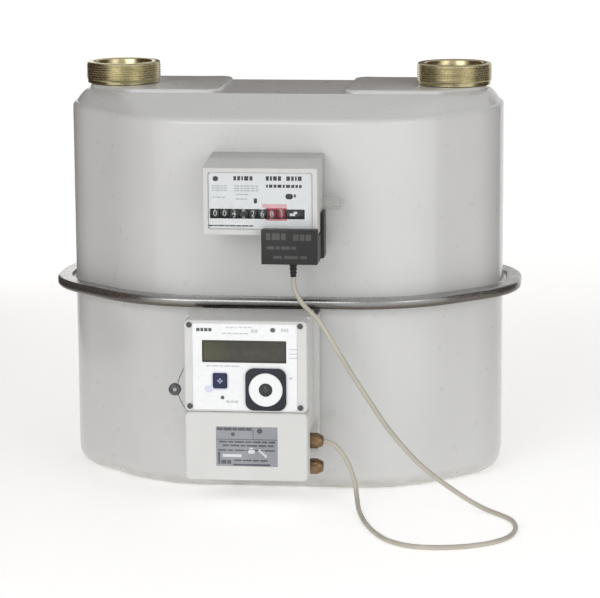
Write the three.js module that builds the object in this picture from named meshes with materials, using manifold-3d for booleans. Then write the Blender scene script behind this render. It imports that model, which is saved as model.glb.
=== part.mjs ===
// Two-pipe diaphragm gas meter with a mechanical index, a pulse transmitter on a cable
// and an electronic volume converter. Millimetres, +Z up, front towards -Y.
// The origin is the centre of the flat underside of the casing.

import * as THREE from 'three';
import { mergeVertices } from 'three/addons/utils/BufferGeometryUtils.js';
import Module from 'manifold-3d';

const wasm = await Module();
wasm.setup();

// ---------------------------------------------------------------- driving dimensions

const gap = 0.3; // between pieces that touch on the real meter

const union = {
  spacing: 335, // centre distance of the two pipe connections
  threadRadius: 37.6, // G 2 1/2
  boreRadius: 29,
  spigotRadius: 33,
  spigotLength: 28,
  collarHeight: 21.2,
  footRadius: 35.4,
  footHeight: 3,
  chamfer: 1,
};

const casing = {
  beyondUnions: 49.5, // from each pipe connection's axis to the side wall
  depth: 252,
  facetInX: 93, // how far in from the side wall the slanted facet meets the front wall
  sideCorner: 42, // Y of the corner between slanted facet and side wall
  frontRadius: 130,
  sideRadius: 70,
  wall: 2,
  underside: 0,
  bottomRadius: 20,
  deckTop: 387,
  deckInX: 14, // how far in from the side wall the deck ends
  deckInY: 58, // how far in from the front wall the deck ends
  deckCornerInX: 59,
  deckCornerY: 22,
  deckRadius: 22,
  shoulderDropFront: 17.5, // from the deck down to the shoulder's outer edge, at the front wall
  shoulderDropSide: 11,
  creaseRadius: 6,
  padInner: 63, // X where each raised connector pad begins
  padRise: 3.5,
  padInset: 4,
};

const seam = {
  height: 191.5, // middle of the joint between the two casing halves
  gasketThickness: 0.8,
  flangeThickness: 2,
  flangeReach: 16.5,
  bandWall: 2,
  bandLip: 4, // how far the band's lips stay out from the casing wall
  bandChamfer: 1.5,
  channelClearance: 0.5,
};

const unit = {
  sideRoom: 77, // from the casing's side wall to the housing
  frontRoom: 50, // from the casing's front wall to the housing
  bottom: 40,
  top: 262,
  wall: 12,
  partition: 3, // half thickness of the wall between the two chambers
  pocketTop: 250,
  coverDepth: 39,
  coverSlope: 37, // how far each side of a cover leans in
  coverBaseHeight: 190,
  coverWall: 2,
  coverRim: 2.1,
  cornerRadius: 26,
  rimMargin: 2,
};

const diaphragm = {
  thickness: 2,
  holeRadius: 72,
  plateRadius: 88,
  hubRadius: 70,
  plateThickness: 2,
};

const flag = {
  inFromSide: 35, // from the housing's side to each vertical rod
  radius: 4,
  innerArmHeight: 150,
  innerArmThickness: 8,
  innerArmWidth: 6,
  eyeHalfWidth: 5.5,
  eyeSlotHalfWidth: 3.6,
  eyeSlotIn: 3.4,
  eyeSlotOut: 7,
  platePinRadius: 2.5,
  topArmLength: 50,
  topArmThickness: 4,
  topArmWidth: 9,
  pinRadius: 3,
};

const crank = {
  radius: 12.5,
  shaftRadius: 4,
  pinRadius: 3,
  teeth: 12,
  toothWidth: 2.6,
  toothHeight: 4,
  wheelRadius: 19,
  toothInner: 13,
  wheelBottom: 280,
  wheelThickness: 4,
  eccentricRadius: 8,
  eccentricOffset: 5,
  eccentricThickness: 4,
  armWidth: 10,
  armThickness: 4,
  linkThickness: 3,
  linkWidth: 9,
  layer: 4, // height from one link to the next
};

const valve = {
  tableThickness: 6,
  tableInset: 4, // how far the table's edge stands in from the housing's edge
  bodyLength: 46,
  bodyWidth: 34,
  height: 8,
  fromFlag: new THREE.Vector2(51, 6), // each valve's middle, inwards and outwards of its flag rod
  travel: 10,
  portLength: 28,
  portWidth: 8,
  portPitch: 13,
  armWidth: 8,
  armThickness: 3,
  armOverlap: 2, // how far the arm's root reaches into the valve's body
};

const duct = {
  offset: 52, // how far the foot of the duct stands in from the outlet connector
  bore: 12,
  wall: 2,
};

const drive = {
  shaftRadius: 3,
  pinionTip: 16,
  pinionRoot: 12,
  meshDepth: 2,
  pinionFront: 18, // distance of the pinion's front and rear faces from the crank axis
  pinionRear: 14,
  wormRadius: 4.6,
  wormLength: 17,
  bushRadius: 8,
  bushFlange: 12,
  bushFlangeThickness: 2,
};

const index = {
  width: 109,
  centreX: -5.5,
  belowDrive: 35, // from the drive shaft's axis down to the housing's floor
  frontHeight: 64,
  backHeight: 70,
  depth: 67.7,
  baseDepth: 23.5,
  wall: 2.5,
  windowWidth: 99,
  windowHeight: 54,
  windowMiddle: 32.5, // height above the housing's floor
  paneThickness: 1.5,
  plateThickness: 1,
  slotWidth: 90.4,
  slotHeight: 9.4,
  slotShift: -2.9, // of the slot's middle from the housing's middle
  wheelAxisUp: 20, // height of the wheels' axis above the housing's floor
  wheelRadius: 9.5,
  wheelBore: 2.3,
  wheelShaft: 2,
  wheelPitch: 9,
  wheelGap: 0.5,
  firstWheelIn: 6.8, // from the housing's left side to the first wheel
  pulseWheelLength: 18.6,
  gearTip: 10.7,
  gearRoot: 8.6,
  gearTeeth: 10,
  gearToothWidth: 2.2,
  gearWidth: 4,
  gearDistance: 20,
  wormWheelTip: 9.8,
  sealLugLength: 20,
  sealLugHeight: 12,
  sealLugThickness: 3,
};

const transmitter = {
  width: 53.3,
  beyondIndex: 1, // how far the right side stands out beyond the index
  proud: 11, // how far the front face stands ahead of the index
  depth: 53,
  height: 26, // below the index housing
  lipHeight: 7, // how far the front lip reaches up over the index
  armThickness: 3.2,
  armHeight: 18,
  armStart: 37, // of the side arm, behind the front face
  armEnd: 59,
  reliefInX: 25, // of the cable's exit, from the right side
  reliefInY: 19,
  reliefLength: 14.5,
  reliefTop: 3.8,
  reliefEnd: 3,
};

const cableRadius = 2.4;

const converter = {
  centreX: -18.5,
  width: 118,
  bottom: 32,
  top: 188,
  standOff: 26, // from the casing's front wall to the converter's back
  depth: 60,
  coverDepth: 22,
  wall: 2.5,
  cornerRadius: 5,
  edgeRadius: 2.5,
  split: 99,
  recessTop: 77,
  recessDepth: 10.5,
  foilShift: -0.5, // of the foil's middle from the converter's middle
  foilInset: 9.2,
  foilBottom: 101.6,
  foilTop: 185,
  foilThickness: 0.4,
  displayShift: -1,
  displayInset: 19,
  displayHeight: 21,
  displayZ: 158.2,
  buttonShift: -24.3,
  buttonZ: 129.6,
  buttonWidth: 13.3,
  buttonHeight: 14.4,
  buttonProud: 1.3,
  buttonFlange: 1.2,
  buttonClearance: 0.4,
  portShift: 19.6,
  portZ: 122,
  portWidth: 39,
  portHeight: 41,
  portProud: 3,
  portRingRadius: 15.2,
  portCoreRadius: 6.5,
  screwInset: 6,
  screwTopZ: 183.4,
  screwBottomZ: 104.4,
  screwHead: 2.7,
  screwShank: 1.5,
  screwLength: 12,
};

const gland = {
  ahead: 28, // of the converter's back
  upperZ: 65,
  lowerZ: 39.6,
  hexRadius: 8.8,
  hexLength: 6,
  nutRadius: 7.6,
  nutLength: 12,
  tipRadius: 5,
  tipLength: 4,
  bore: 2.7,
};

const bracket = {
  leftInset: 7.5,
  beyondRight: 4.5, // how far it shows beyond the converter's right side
  bottom: 46,
  top: 183,
  thickness: 2,
};

// ---------------------------------------------------------------- derived places

const gasketTop = seam.height + seam.gasketThickness / 2;
const upperFlangeBottom = gasketTop + gap;
const upperFlangeTop = upperFlangeBottom + seam.flangeThickness;
const lowerFlangeTop = 2 * seam.height - upperFlangeBottom;
const lowerFlangeBottom = lowerFlangeTop - seam.flangeThickness;
const channelTop = upperFlangeTop + gap;
const bandTop = channelTop + seam.bandWall;
const channelReach = seam.flangeReach + seam.channelClearance;
const bandReach = channelReach + seam.bandWall;
const casingHalfX = union.spacing / 2 + casing.beyondUnions;
const casingHalfY = casing.depth / 2;
const casingFront = -casingHalfY;
const padTop = casing.deckTop + casing.padRise;
const collarBottom = padTop + gap;
const collarTop = collarBottom + union.collarHeight;
const spigotBottom = collarBottom - union.spigotLength;

const unitWidth = 2 * (casingHalfX - unit.sideRoom);
const coverBaseWidth = unitWidth - 2 * unit.coverSlope;
const unitHalfDepth = casingHalfY - unit.frontRoom;
const flagX = unitWidth / 2 - flag.inFromSide;
const flagY = unitHalfDepth / 2;
const valveX = flagX - valve.fromFlag.x;
const valveY = flagY + valve.fromFlag.y;

const tableBottom = unit.top + gap;
const tableTop = tableBottom + valve.tableThickness;
const valveBottom = tableTop + gap;
const toothTop = crank.wheelBottom + crank.wheelThickness + crank.toothHeight;
const driveHeight = toothTop - drive.meshDepth + drive.pinionTip;
const crankArmBottom = driveHeight + drive.pinionTip + 2;
const crankArmTop = crankArmBottom + crank.armThickness;
const frontLinkBottom = crankArmTop + 1;
const rearLinkBottom = frontLinkBottom + crank.layer;
const topArmTop = crankArmTop - 2;

// Each flag rod's upper arm stands square to its link when the diaphragm is at mid stroke.
const rodReach = Math.hypot(flagX, flagY);
const pinReach = Math.sqrt(rodReach ** 2 - flag.topArmLength ** 2);
const rodAngle = Math.atan2(flagY, flagX);
const pinTurn = Math.acos(pinReach / rodReach);

const indexLeft = index.centreX - index.width / 2;
const indexRight = index.centreX + index.width / 2;
const indexBottom = driveHeight - index.belowDrive;
const windowMiddle = indexBottom + index.windowMiddle;
const wheelAxisZ = indexBottom + index.wheelAxisUp;
const firstWheelX = indexLeft + index.firstWheelIn;
const indexBack = casingFront - gap;
const indexFront = indexBack - index.depth;
const indexSplit = indexBack - index.baseDepth;
const paneFront = indexFront + 0.6;
const plateFront = paneFront + index.paneThickness + gap;
const wheelAxisY = plateFront + index.plateThickness + 0.6 + index.gearTip;
const layshaftY = wheelAxisY + index.gearDistance;

const transmitterRight = indexRight + transmitter.beyondIndex;
const transmitterFront = indexFront - transmitter.proud;
const transmitterBottom = indexBottom - transmitter.height;
const reliefX = transmitterRight - transmitter.reliefInX;
const reliefY = transmitterFront + transmitter.reliefInY;
const reliefBottom = transmitterBottom - gap - transmitter.reliefLength;

const converterLeft = converter.centreX - converter.width / 2;
const converterRight = converter.centreX + converter.width / 2;
const converterBack = casingFront - converter.standOff;
const converterFront = converterBack - converter.depth;
const coverBack = converterFront + converter.coverDepth;
const baseFront = coverBack + gap;
const coverInside = converterFront + converter.wall;
const foilBack = converterFront - gap;
const foilFront = foilBack - converter.foilThickness;
const foilCentreX = converter.centreX + converter.foilShift;
const displayCentreX = converter.centreX + converter.displayShift;
const displayWidth = converter.width - 2 * converter.displayInset;
const buttonX = converter.centreX + converter.buttonShift;
const portX = converter.centreX + converter.portShift;
const recessX = converterRight - converter.recessDepth;
const glandY = converterBack - gland.ahead;
const glandTip = recessX + gap + gland.hexLength + gland.nutLength + gland.tipLength;

// ---------------------------------------------------------------- shaping helpers

function toSolid(geometry) {
  const bare = geometry.clone();
  bare.deleteAttribute('normal');
  bare.deleteAttribute('uv');
  const merged = mergeVertices(bare, 1e-4);
  const corners = merged.index.array;
  const kept = [];
  for (let i = 0; i < corners.length; i += 3) {
    const [a, b, c] = [corners[i], corners[i + 1], corners[i + 2]];
    if (a !== b && b !== c && c !== a) {
      kept.push(a, b, c);
    }
  }
  const vertProperties = Float32Array.from(merged.attributes.position.array);
  const triVerts = Uint32Array.from(kept);
  return new wasm.Manifold(new wasm.Mesh({ numProp: 3, vertProperties, triVerts }));
}

function toGeometry(body) {
  const mesh = body.getMesh();
  const geometry = new THREE.BufferGeometry();
  geometry.setAttribute('position', new THREE.BufferAttribute(mesh.vertProperties, 3));
  geometry.setIndex(new THREE.BufferAttribute(mesh.triVerts, 1));
  geometry.computeVertexNormals();
  return geometry;
}

function join(...pieces) {
  return pieces.map(toSolid).reduce((sum, piece) => sum.add(piece));
}

function cut(body, ...tools) {
  return tools.map(toSolid).reduce((rest, tool) => rest.subtract(tool), body);
}

function box(x0, x1, y0, y1, z0, z1) {
  const geometry = new THREE.BoxGeometry(x1 - x0, y1 - y0, z1 - z0);
  return geometry.translate((x0 + x1) / 2, (y0 + y1) / 2, (z0 + z1) / 2);
}

function rodAlongZ(radius, x, y, z0, z1, sides = 20) {
  const geometry = new THREE.CylinderGeometry(radius, radius, z1 - z0, sides);
  return geometry.rotateX(Math.PI / 2).translate(x, y, (z0 + z1) / 2);
}

function rodAlongY(radius, x, z, y0, y1, sides = 20) {
  const geometry = new THREE.CylinderGeometry(radius, radius, y1 - y0, sides);
  return geometry.translate(x, (y0 + y1) / 2, z);
}

function rodAlongX(radius, y, z, x0, x1, sides = 20) {
  const geometry = new THREE.CylinderGeometry(radius, radius, x1 - x0, sides);
  return geometry.rotateZ(Math.PI / 2).translate((x0 + x1) / 2, y, z);
}

// A shape drawn in X and Z, given thickness from y0 to y1.
function slabFacingFront(shape, y0, y1, curveSegments = 6) {
  const geometry = new THREE.ExtrudeGeometry(shape, { depth: y1 - y0, bevelEnabled: false, curveSegments });
  return geometry.rotateX(Math.PI / 2).translate(0, y1, 0);
}

// A shape drawn in Y and Z, given thickness from x0 to x1.
function slabFacingSide(shape, x0, x1, curveSegments = 6) {
  const geometry = new THREE.ExtrudeGeometry(shape, { depth: x1 - x0, bevelEnabled: false, curveSegments });
  return geometry.rotateX(Math.PI / 2).rotateZ(Math.PI / 2).translate(x0, 0, 0);
}

// A shape drawn in X and Y, given thickness from z0 to z1.
function slabFacingUp(shape, z0, z1, curveSegments = 6) {
  const geometry = new THREE.ExtrudeGeometry(shape, { depth: z1 - z0, bevelEnabled: false, curveSegments });
  return geometry.translate(0, 0, z0);
}

// Turned part: the profile is a list of [radius, height] that closes on itself or on the axis.
function turned(profile, segments) {
  const closesOnAxis = profile[0][0] === 0;
  const loop = closesOnAxis ? profile : [...profile, profile[0]];
  return new THREE.LatheGeometry(loop.map(([r, h]) => new THREE.Vector2(r, h)), segments);
}

function traceRoundedRect(path, x, y, width, height, radius) {
  const [left, right, low, high] = [x - width / 2, x + width / 2, y - height / 2, y + height / 2];
  path.moveTo(left + radius, low);
  path.lineTo(right - radius, low);
  path.absarc(right - radius, low + radius, radius, -Math.PI / 2, 0, false);
  path.lineTo(right, high - radius);
  path.absarc(right - radius, high - radius, radius, 0, Math.PI / 2, false);
  path.lineTo(left + radius, high);
  path.absarc(left + radius, high - radius, radius, Math.PI / 2, Math.PI, false);
  path.lineTo(left, low + radius);
  path.absarc(left + radius, low + radius, radius, Math.PI, 1.5 * Math.PI, false);
  return path;
}

function roundedRect(x, y, width, height, radius) {
  return traceRoundedRect(new THREE.Shape(), x, y, width, height, radius);
}

// A bar with round ends between two points of the XY plane.
function linkShape(from, to, width) {
  const angle = Math.atan2(to.y - from.y, to.x - from.x);
  const shape = new THREE.Shape();
  shape.absarc(from.x, from.y, width / 2, angle + Math.PI / 2, angle + 1.5 * Math.PI, false);
  shape.absarc(to.x, to.y, width / 2, angle - Math.PI / 2, angle + Math.PI / 2, false);
  return shape;
}

function addRoundHole(shape, x, y, radius) {
  const hole = new THREE.Path();
  hole.absarc(x, y, radius, 0, 2 * Math.PI, true);
  shape.holes.push(hole);
  return shape;
}

// A skin over rings of points, all with the same count and all counterclockwise from above.
// Open rings are capped flat at both ends; a closed tour joins the last ring to the first.
function loft(rings, isClosedTour) {
  const count = rings[0].length;
  const positions = rings.flat().flatMap((p) => [p.x, p.y, p.z]);
  const faces = [];
  const spans = isClosedTour ? rings.length : rings.length - 1;
  for (let i = 0; i < spans; i += 1) {
    const here = i * count;
    const next = ((i + 1) % rings.length) * count;
    for (let j = 0; j < count; j += 1) {
      const k = (j + 1) % count;
      faces.push(here + j, here + k, next + k, here + j, next + k, next + j);
    }
  }
  if (!isClosedTour) {
    const last = (rings.length - 1) * count;
    const startHub = positions.length / 3;
    positions.push(...middle(rings[0]), ...middle(rings[rings.length - 1]));
    for (let j = 0; j < count; j += 1) {
      const k = (j + 1) % count;
      faces.push(startHub, k, j, startHub + 1, last + j, last + k);
    }
  }
  const geometry = new THREE.BufferGeometry();
  geometry.setAttribute('position', new THREE.Float32BufferAttribute(positions, 3));
  geometry.setIndex(faces);
  geometry.computeVertexNormals();
  return geometry;
}

function middle(ring) {
  const sum = ring.reduce((total, p) => total.add(p), new THREE.Vector3());
  return sum.divideScalar(ring.length).toArray();
}

// One quarter of a convex outline goes through two rounded corners; the rest is its mirror image.
function mirroredOutline(corners, radii, arcSteps = 4) {
  const before = new THREE.Vector2(corners[0].x, 0);
  const after = new THREE.Vector2(0, corners[1].y);
  const stops = [before, ...corners, after];
  const quarter = [];
  for (let i = 1; i <= 2; i += 1) {
    const inward = stops[i].clone().sub(stops[i - 1]).normalize();
    const outward = stops[i + 1].clone().sub(stops[i]).normalize();
    const turn = Math.acos(inward.dot(outward));
    const start = stops[i].clone().addScaledVector(inward, -radii[i - 1] * Math.tan(turn / 2));
    const toCentre = new THREE.Vector2(-inward.y, inward.x);
    const centre = start.clone().addScaledVector(toCentre, radii[i - 1]);
    for (let step = 0; step <= arcSteps; step += 1) {
      const spoke = start.clone().sub(centre);
      spoke.rotateAround(new THREE.Vector2(), (turn * step) / arcSteps);
      quarter.push(centre.clone().add(spoke));
    }
  }
  const mirror = (list, sx, sy) => list.map((p) => new THREE.Vector2(p.x * sx, p.y * sy));
  const reversed = [...quarter].reverse();
  return [...quarter, ...mirror(reversed, -1, 1), ...mirror(quarter, -1, -1), ...mirror(reversed, 1, -1)];
}

// The casing's plan outline, moved outwards by `out`.
function casingOutline(out) {
  const side = new THREE.Vector2(casingHalfX, casing.sideCorner);
  const front = new THREE.Vector2(casingHalfX - casing.facetInX, casingHalfY);
  const facet = front.clone().sub(side).normalize();
  const facetOut = new THREE.Vector2(facet.y, -facet.x);
  const push = (corner, wallOut) => {
    const both = wallOut.clone().add(facetOut);
    return corner.clone().addScaledVector(both, out / (1 + wallOut.dot(facetOut)));
  };
  const corners = [push(side, new THREE.Vector2(1, 0)), push(front, new THREE.Vector2(0, 1))];
  return mirroredOutline(corners, [casing.sideRadius + out, casing.frontRadius + out]);
}

function deckOutline(inset) {
  const corners = [
    new THREE.Vector2(casingHalfX - casing.deckInX - inset, casing.deckCornerY),
    new THREE.Vector2(casingHalfX - casing.deckCornerInX - inset, casingHalfY - casing.deckInY - inset),
  ];
  return mirroredOutline(corners, [casing.deckRadius, casing.deckRadius]);
}

function casingRing(out, z) {
  return casingOutline(out).map((p) => new THREE.Vector3(p.x, p.y, z));
}

function deckRing(inset, z) {
  return deckOutline(inset).map((p) => new THREE.Vector3(p.x, p.y, z));
}

// The shoulder's outer edge is lowest along the front and back walls.
function creaseRing(out, rise) {
  const sideHeight = casing.deckTop - casing.shoulderDropSide;
  const fall = (casing.shoulderDropFront - casing.shoulderDropSide) / casingHalfY;
  const height = (p) => sideHeight - fall * Math.min(Math.abs(p.y), casingHalfY) + rise;
  return casingOutline(out).map((p) => new THREE.Vector3(p.x, p.y, height(p)));
}

// ---------------------------------------------------------------- materials and nodes

const looks = {
  paint: { color: 0xd2d3d2, roughness: 0.45, metalness: 0 },
  band: { color: 0xa4a5a5, roughness: 0.4, metalness: 0.6 },
  rubber: { color: 0x222222, roughness: 0.9, metalness: 0 },
  brass: { color: 0xa8955a, roughness: 0.4, metalness: 0.9 },
  steel: { color: 0x9a9c9e, roughness: 0.35, metalness: 0.9 },
  innerPlastic: { color: 0xcfcab8, roughness: 0.6, metalness: 0 },
  valvePlastic: { color: 0x3c4046, roughness: 0.5, metalness: 0 },
  fabric: { color: 0xb08a62, roughness: 0.9, metalness: 0 },
  indexPlastic: { color: 0xc9c9c8, roughness: 0.5, metalness: 0 },
  white: { color: 0xf0f0f0, roughness: 0.5, metalness: 0 },
  clear: { color: 0xeef4f6, roughness: 0.1, metalness: 0 },
  black: { color: 0x181818, roughness: 0.5, metalness: 0 },
  red: { color: 0x9c1d24, roughness: 0.5, metalness: 0 },
  greyPlastic: { color: 0xcdcecd, roughness: 0.55, metalness: 0 },
  cable: { color: 0xaca99f, roughness: 0.6, metalness: 0 },
  display: { color: 0x46443c, roughness: 0.2, metalness: 0 },
  navy: { color: 0x1d2340, roughness: 0.4, metalness: 0 },
  board: { color: 0x1f5a35, roughness: 0.6, metalness: 0 },
  lead: { color: 0x6c6d70, roughness: 0.6, metalness: 0.8 },
};

const meter = new THREE.Group();

function addNode(parent, name, shape, look) {
  const geometry = shape instanceof THREE.BufferGeometry ? shape : toGeometry(shape);
  const mesh = new THREE.Mesh(geometry, new THREE.MeshStandardMaterial(looks[look]));
  mesh.name = name;
  parent.add(mesh);
  return mesh;
}

// ---------------------------------------------------------------- casing

function lowerCasing() {
  const wall = casing.wall;
  const radius = casing.bottomRadius;
  const rings = [];
  const bottomArc = (shift, floor) => [60, 30, 0].map((degrees) => {
    const angle = (degrees * Math.PI) / 180;
    const out = -shift - radius * (1 - Math.cos(angle));
    return casingRing(out, floor + radius * (1 - Math.sin(angle)));
  });
  rings.push(casingRing(-radius, casing.underside));
  rings.push(...bottomArc(0, casing.underside));
  rings.push(casingRing(0, lowerFlangeBottom));
  rings.push(casingRing(seam.flangeReach, lowerFlangeBottom));
  rings.push(casingRing(seam.flangeReach, lowerFlangeTop));
  rings.push(casingRing(-wall, lowerFlangeTop));
  rings.push(...bottomArc(wall, casing.underside + wall).reverse());
  rings.push(casingRing(-wall - radius, casing.underside + wall));
  return loft(rings, false);
}

function connectorHoles() {
  const clearance = 0.4;
  const tops = [-1, 1].map((side) => {
    const x = (side * union.spacing) / 2;
    return rodAlongZ(union.spigotRadius + clearance, x, 0, spigotBottom, collarTop, 36);
  });
  return tops;
}

function upperCasing() {
  const wall = casing.wall;
  const soft = casing.creaseRadius;
  const rings = [];
  rings.push(deckRing(0, casing.deckTop - wall));
  rings.push(creaseRing(-soft, -wall));
  rings.push(creaseRing(-wall, -soft));
  rings.push(casingRing(-wall, upperFlangeBottom));
  rings.push(casingRing(seam.flangeReach, upperFlangeBottom));
  rings.push(casingRing(seam.flangeReach, upperFlangeTop));
  rings.push(casingRing(0, upperFlangeTop));
  rings.push(creaseRing(0, -soft));
  rings.push(creaseRing(-0.3 * soft, -0.35 * soft));
  rings.push(creaseRing(-soft, 0));
  rings.push(deckRing(0, casing.deckTop - 0.4));
  rings.push(deckRing(3, casing.deckTop));
  const shell = toSolid(loft(rings, false));
  const raised = toSolid(loft([
    deckRing(casing.padInset, casing.deckTop - wall / 2),
    deckRing(casing.padInset, padTop),
  ], false));
  const between = box(-casing.padInner, casing.padInner, -casing.depth, casing.depth, 0, 2 * padTop);
  const pads = cut(raised, between);
  const indexDriveHole = rodAlongY(
    drive.bushRadius + 2 * gap, 0, driveHeight, casingFront - 1, casingFront + wall + 1, 16,
  );
  return cut(shell.add(pads), ...connectorHoles(), indexDriveHole);
}

function clampBand() {
  const bevel = seam.bandChamfer;
  const bandBottom = 2 * seam.height - bandTop;
  const channelBottom = 2 * seam.height - channelTop;
  const section = [
    [seam.bandLip, bandBottom],
    [bandReach - bevel, bandBottom],
    [bandReach, bandBottom + bevel],
    [bandReach, bandTop - bevel],
    [bandReach - bevel, bandTop],
    [seam.bandLip, bandTop],
    [seam.bandLip, channelTop],
    [channelReach, channelTop],
    [channelReach, channelBottom],
    [seam.bandLip, channelBottom],
  ];
  return loft(section.map(([out, z]) => casingRing(out, z)), true);
}

function casingGasket() {
  const half = seam.gasketThickness / 2;
  const inner = 1 - casing.wall;
  const outer = seam.flangeReach - 1;
  const section = [
    [inner, seam.height - half],
    [outer, seam.height - half],
    [outer, seam.height + half],
    [inner, seam.height + half],
  ];
  return loft(section.map(([out, z]) => casingRing(out, z)), true);
}

function pipeConnector() {
  const bevel = union.chamfer;
  const profile = [
    [union.boreRadius, spigotBottom],
    [union.spigotRadius, spigotBottom],
    [union.spigotRadius, collarBottom],
    [union.footRadius, collarBottom],
    [union.threadRadius, collarBottom + union.footHeight],
    [union.threadRadius, collarTop - bevel],
    [union.threadRadius - bevel, collarTop],
    [union.boreRadius + bevel, collarTop],
    [union.boreRadius, collarTop - bevel],
  ];
  return turned(profile, 30).rotateX(Math.PI / 2);
}

function addCasing() {
  addNode(meter, 'lower_casing', lowerCasing(), 'paint');
  addNode(meter, 'upper_casing', upperCasing(), 'paint');
  addNode(meter, 'clamp_band', clampBand(), 'band');
  addNode(meter, 'casing_gasket', casingGasket(), 'rubber');
  const inlet = addNode(meter, 'inlet_connector', pipeConnector(), 'brass');
  inlet.position.x = -union.spacing / 2;
  const outlet = addNode(meter, 'outlet_connector', pipeConnector(), 'brass');
  outlet.position.x = union.spacing / 2;
}

// ---------------------------------------------------------------- measuring unit

function measuringHousing() {
  const half = unitWidth / 2;
  const deep = unitHalfDepth;
  const block = toSolid(box(-half, half, -deep, deep, unit.bottom, unit.top));
  const pocketMiddle = (unit.bottom + unit.wall + unit.pocketTop) / 2;
  const pocketHeight = unit.pocketTop - unit.bottom - unit.wall;
  const pocket = roundedRect(0, pocketMiddle, unitWidth - 2 * unit.wall, pocketHeight, unit.cornerRadius / 2);
  const frontPocket = slabFacingFront(pocket, -deep - 1, -unit.partition, 3);
  const rearPocket = slabFacingFront(pocket, unit.partition, deep + 1, 3);
  const rodHoles = [-1, 1].map((side) => rodAlongZ(
    flag.radius + gap, side * flagX, side * flagY, unit.pocketTop - 1, unit.top + 1, 12,
  ));
  const gasHoles = portPlaces().map(([x, y]) => rodAlongZ(
    valve.portWidth / 2, x, y, unit.pocketTop - 1, unit.top + 1, 8,
  ));
  return cut(block, frontPocket, rearPocket, ...rodHoles, ...gasHoles);
}

// The two outer ports of each valve lead into the chambers on either side of a diaphragm.
function portPlaces() {
  return [-1, 1].flatMap((side) => [-1, 1].map((end) => [
    side * valveX + end * valve.portPitch,
    side * valveY,
  ]));
}

function rectRing(width, height, radius, z) {
  const corner = new THREE.Vector2(width / 2, height / 2);
  const points = [];
  const steps = 4;
  for (let quarter = 0; quarter < 4; quarter += 1) {
    const sx = quarter === 0 || quarter === 3 ? 1 : -1;
    const sy = quarter < 2 ? 1 : -1;
    for (let step = 0; step <= steps; step += 1) {
      const angle = ((quarter + step / steps) * Math.PI) / 2;
      const x = sx * (corner.x - radius) + radius * Math.cos(angle);
      const y = sy * (corner.y - radius) + radius * Math.sin(angle);
      points.push(new THREE.Vector3(x, y, z));
    }
  }
  return points;
}

// A shallow pan that closes one side of the measuring unit, with its rim against the diaphragm.
function chamberCover() {
  const wall = unit.coverWall;
  const rimWidth = unitWidth - unit.rimMargin;
  const rimHeight = unit.top - unit.bottom - unit.rimMargin;
  const mouthWidth = unitWidth - 2 * unit.wall;
  const mouthHeight = unit.pocketTop - unit.bottom - unit.wall;
  const r = unit.cornerRadius;
  const rings = [
    rectRing(coverBaseWidth, unit.coverBaseHeight, r, 0),
    rectRing(mouthWidth + 2 * wall, mouthHeight + 2 * wall, r, unit.coverDepth - unit.coverRim),
    rectRing(rimWidth, rimHeight, r, unit.coverDepth - unit.coverRim),
    rectRing(rimWidth, rimHeight, r, unit.coverDepth),
    rectRing(mouthWidth, mouthHeight, r, unit.coverDepth),
    rectRing(coverBaseWidth - 2 * wall, unit.coverBaseHeight - 2 * wall, r, wall),
  ];
  const pan = loft(rings, false).rotateX(-Math.PI / 2);
  const rimFace = -unitHalfDepth - gap - diaphragm.thickness - gap;
  return pan.translate(0, rimFace - unit.coverDepth, (unit.bottom + unit.top) / 2);
}

function diaphragmSheet() {
  const z = (unit.bottom + unit.top) / 2;
  const width = unitWidth - unit.rimMargin;
  const height = unit.top - unit.bottom - unit.rimMargin;
  const shape = roundedRect(0, z, width, height, unit.cornerRadius);
  addRoundHole(shape, 0, z, diaphragm.holeRadius);
  const face = -unitHalfDepth - gap;
  return slabFacingFront(shape, face - diaphragm.thickness, face, 8);
}

// Two stiff discs clamp the diaphragm's middle; a bracket behind them carries the flag arm's pin.
function diaphragmPlate() {
  const z = (unit.bottom + unit.top) / 2;
  const inner = -unitHalfDepth - gap;
  const outer = inner - diaphragm.thickness;
  const t = diaphragm.plateThickness;
  const r = diaphragm.plateRadius;
  const profile = [
    [0, outer - gap - t],
    [r, outer - gap - t],
    [r, outer - gap],
    [diaphragm.hubRadius, outer - gap],
    [diaphragm.hubRadius, inner + gap],
    [r, inner + gap],
    [r, inner + gap + t],
    [0, inner + gap + t],
  ];
  const discs = turned(profile, 24).translate(0, 0, z);
  const pinTop = flag.innerArmHeight + flag.innerArmThickness + 4;
  const pinBottom = flag.innerArmHeight - flag.innerArmThickness;
  const half = flag.platePinRadius + 0.5;
  const barTop = pinTop + 6;
  const bar = box(-half, half, inner + gap + t / 2, -flagY + half, pinTop, barTop);
  const pin = rodAlongZ(flag.platePinRadius, 0, -flagY, pinBottom, pinTop + 1, 12);
  return join(discs, bar, pin);
}

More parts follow.
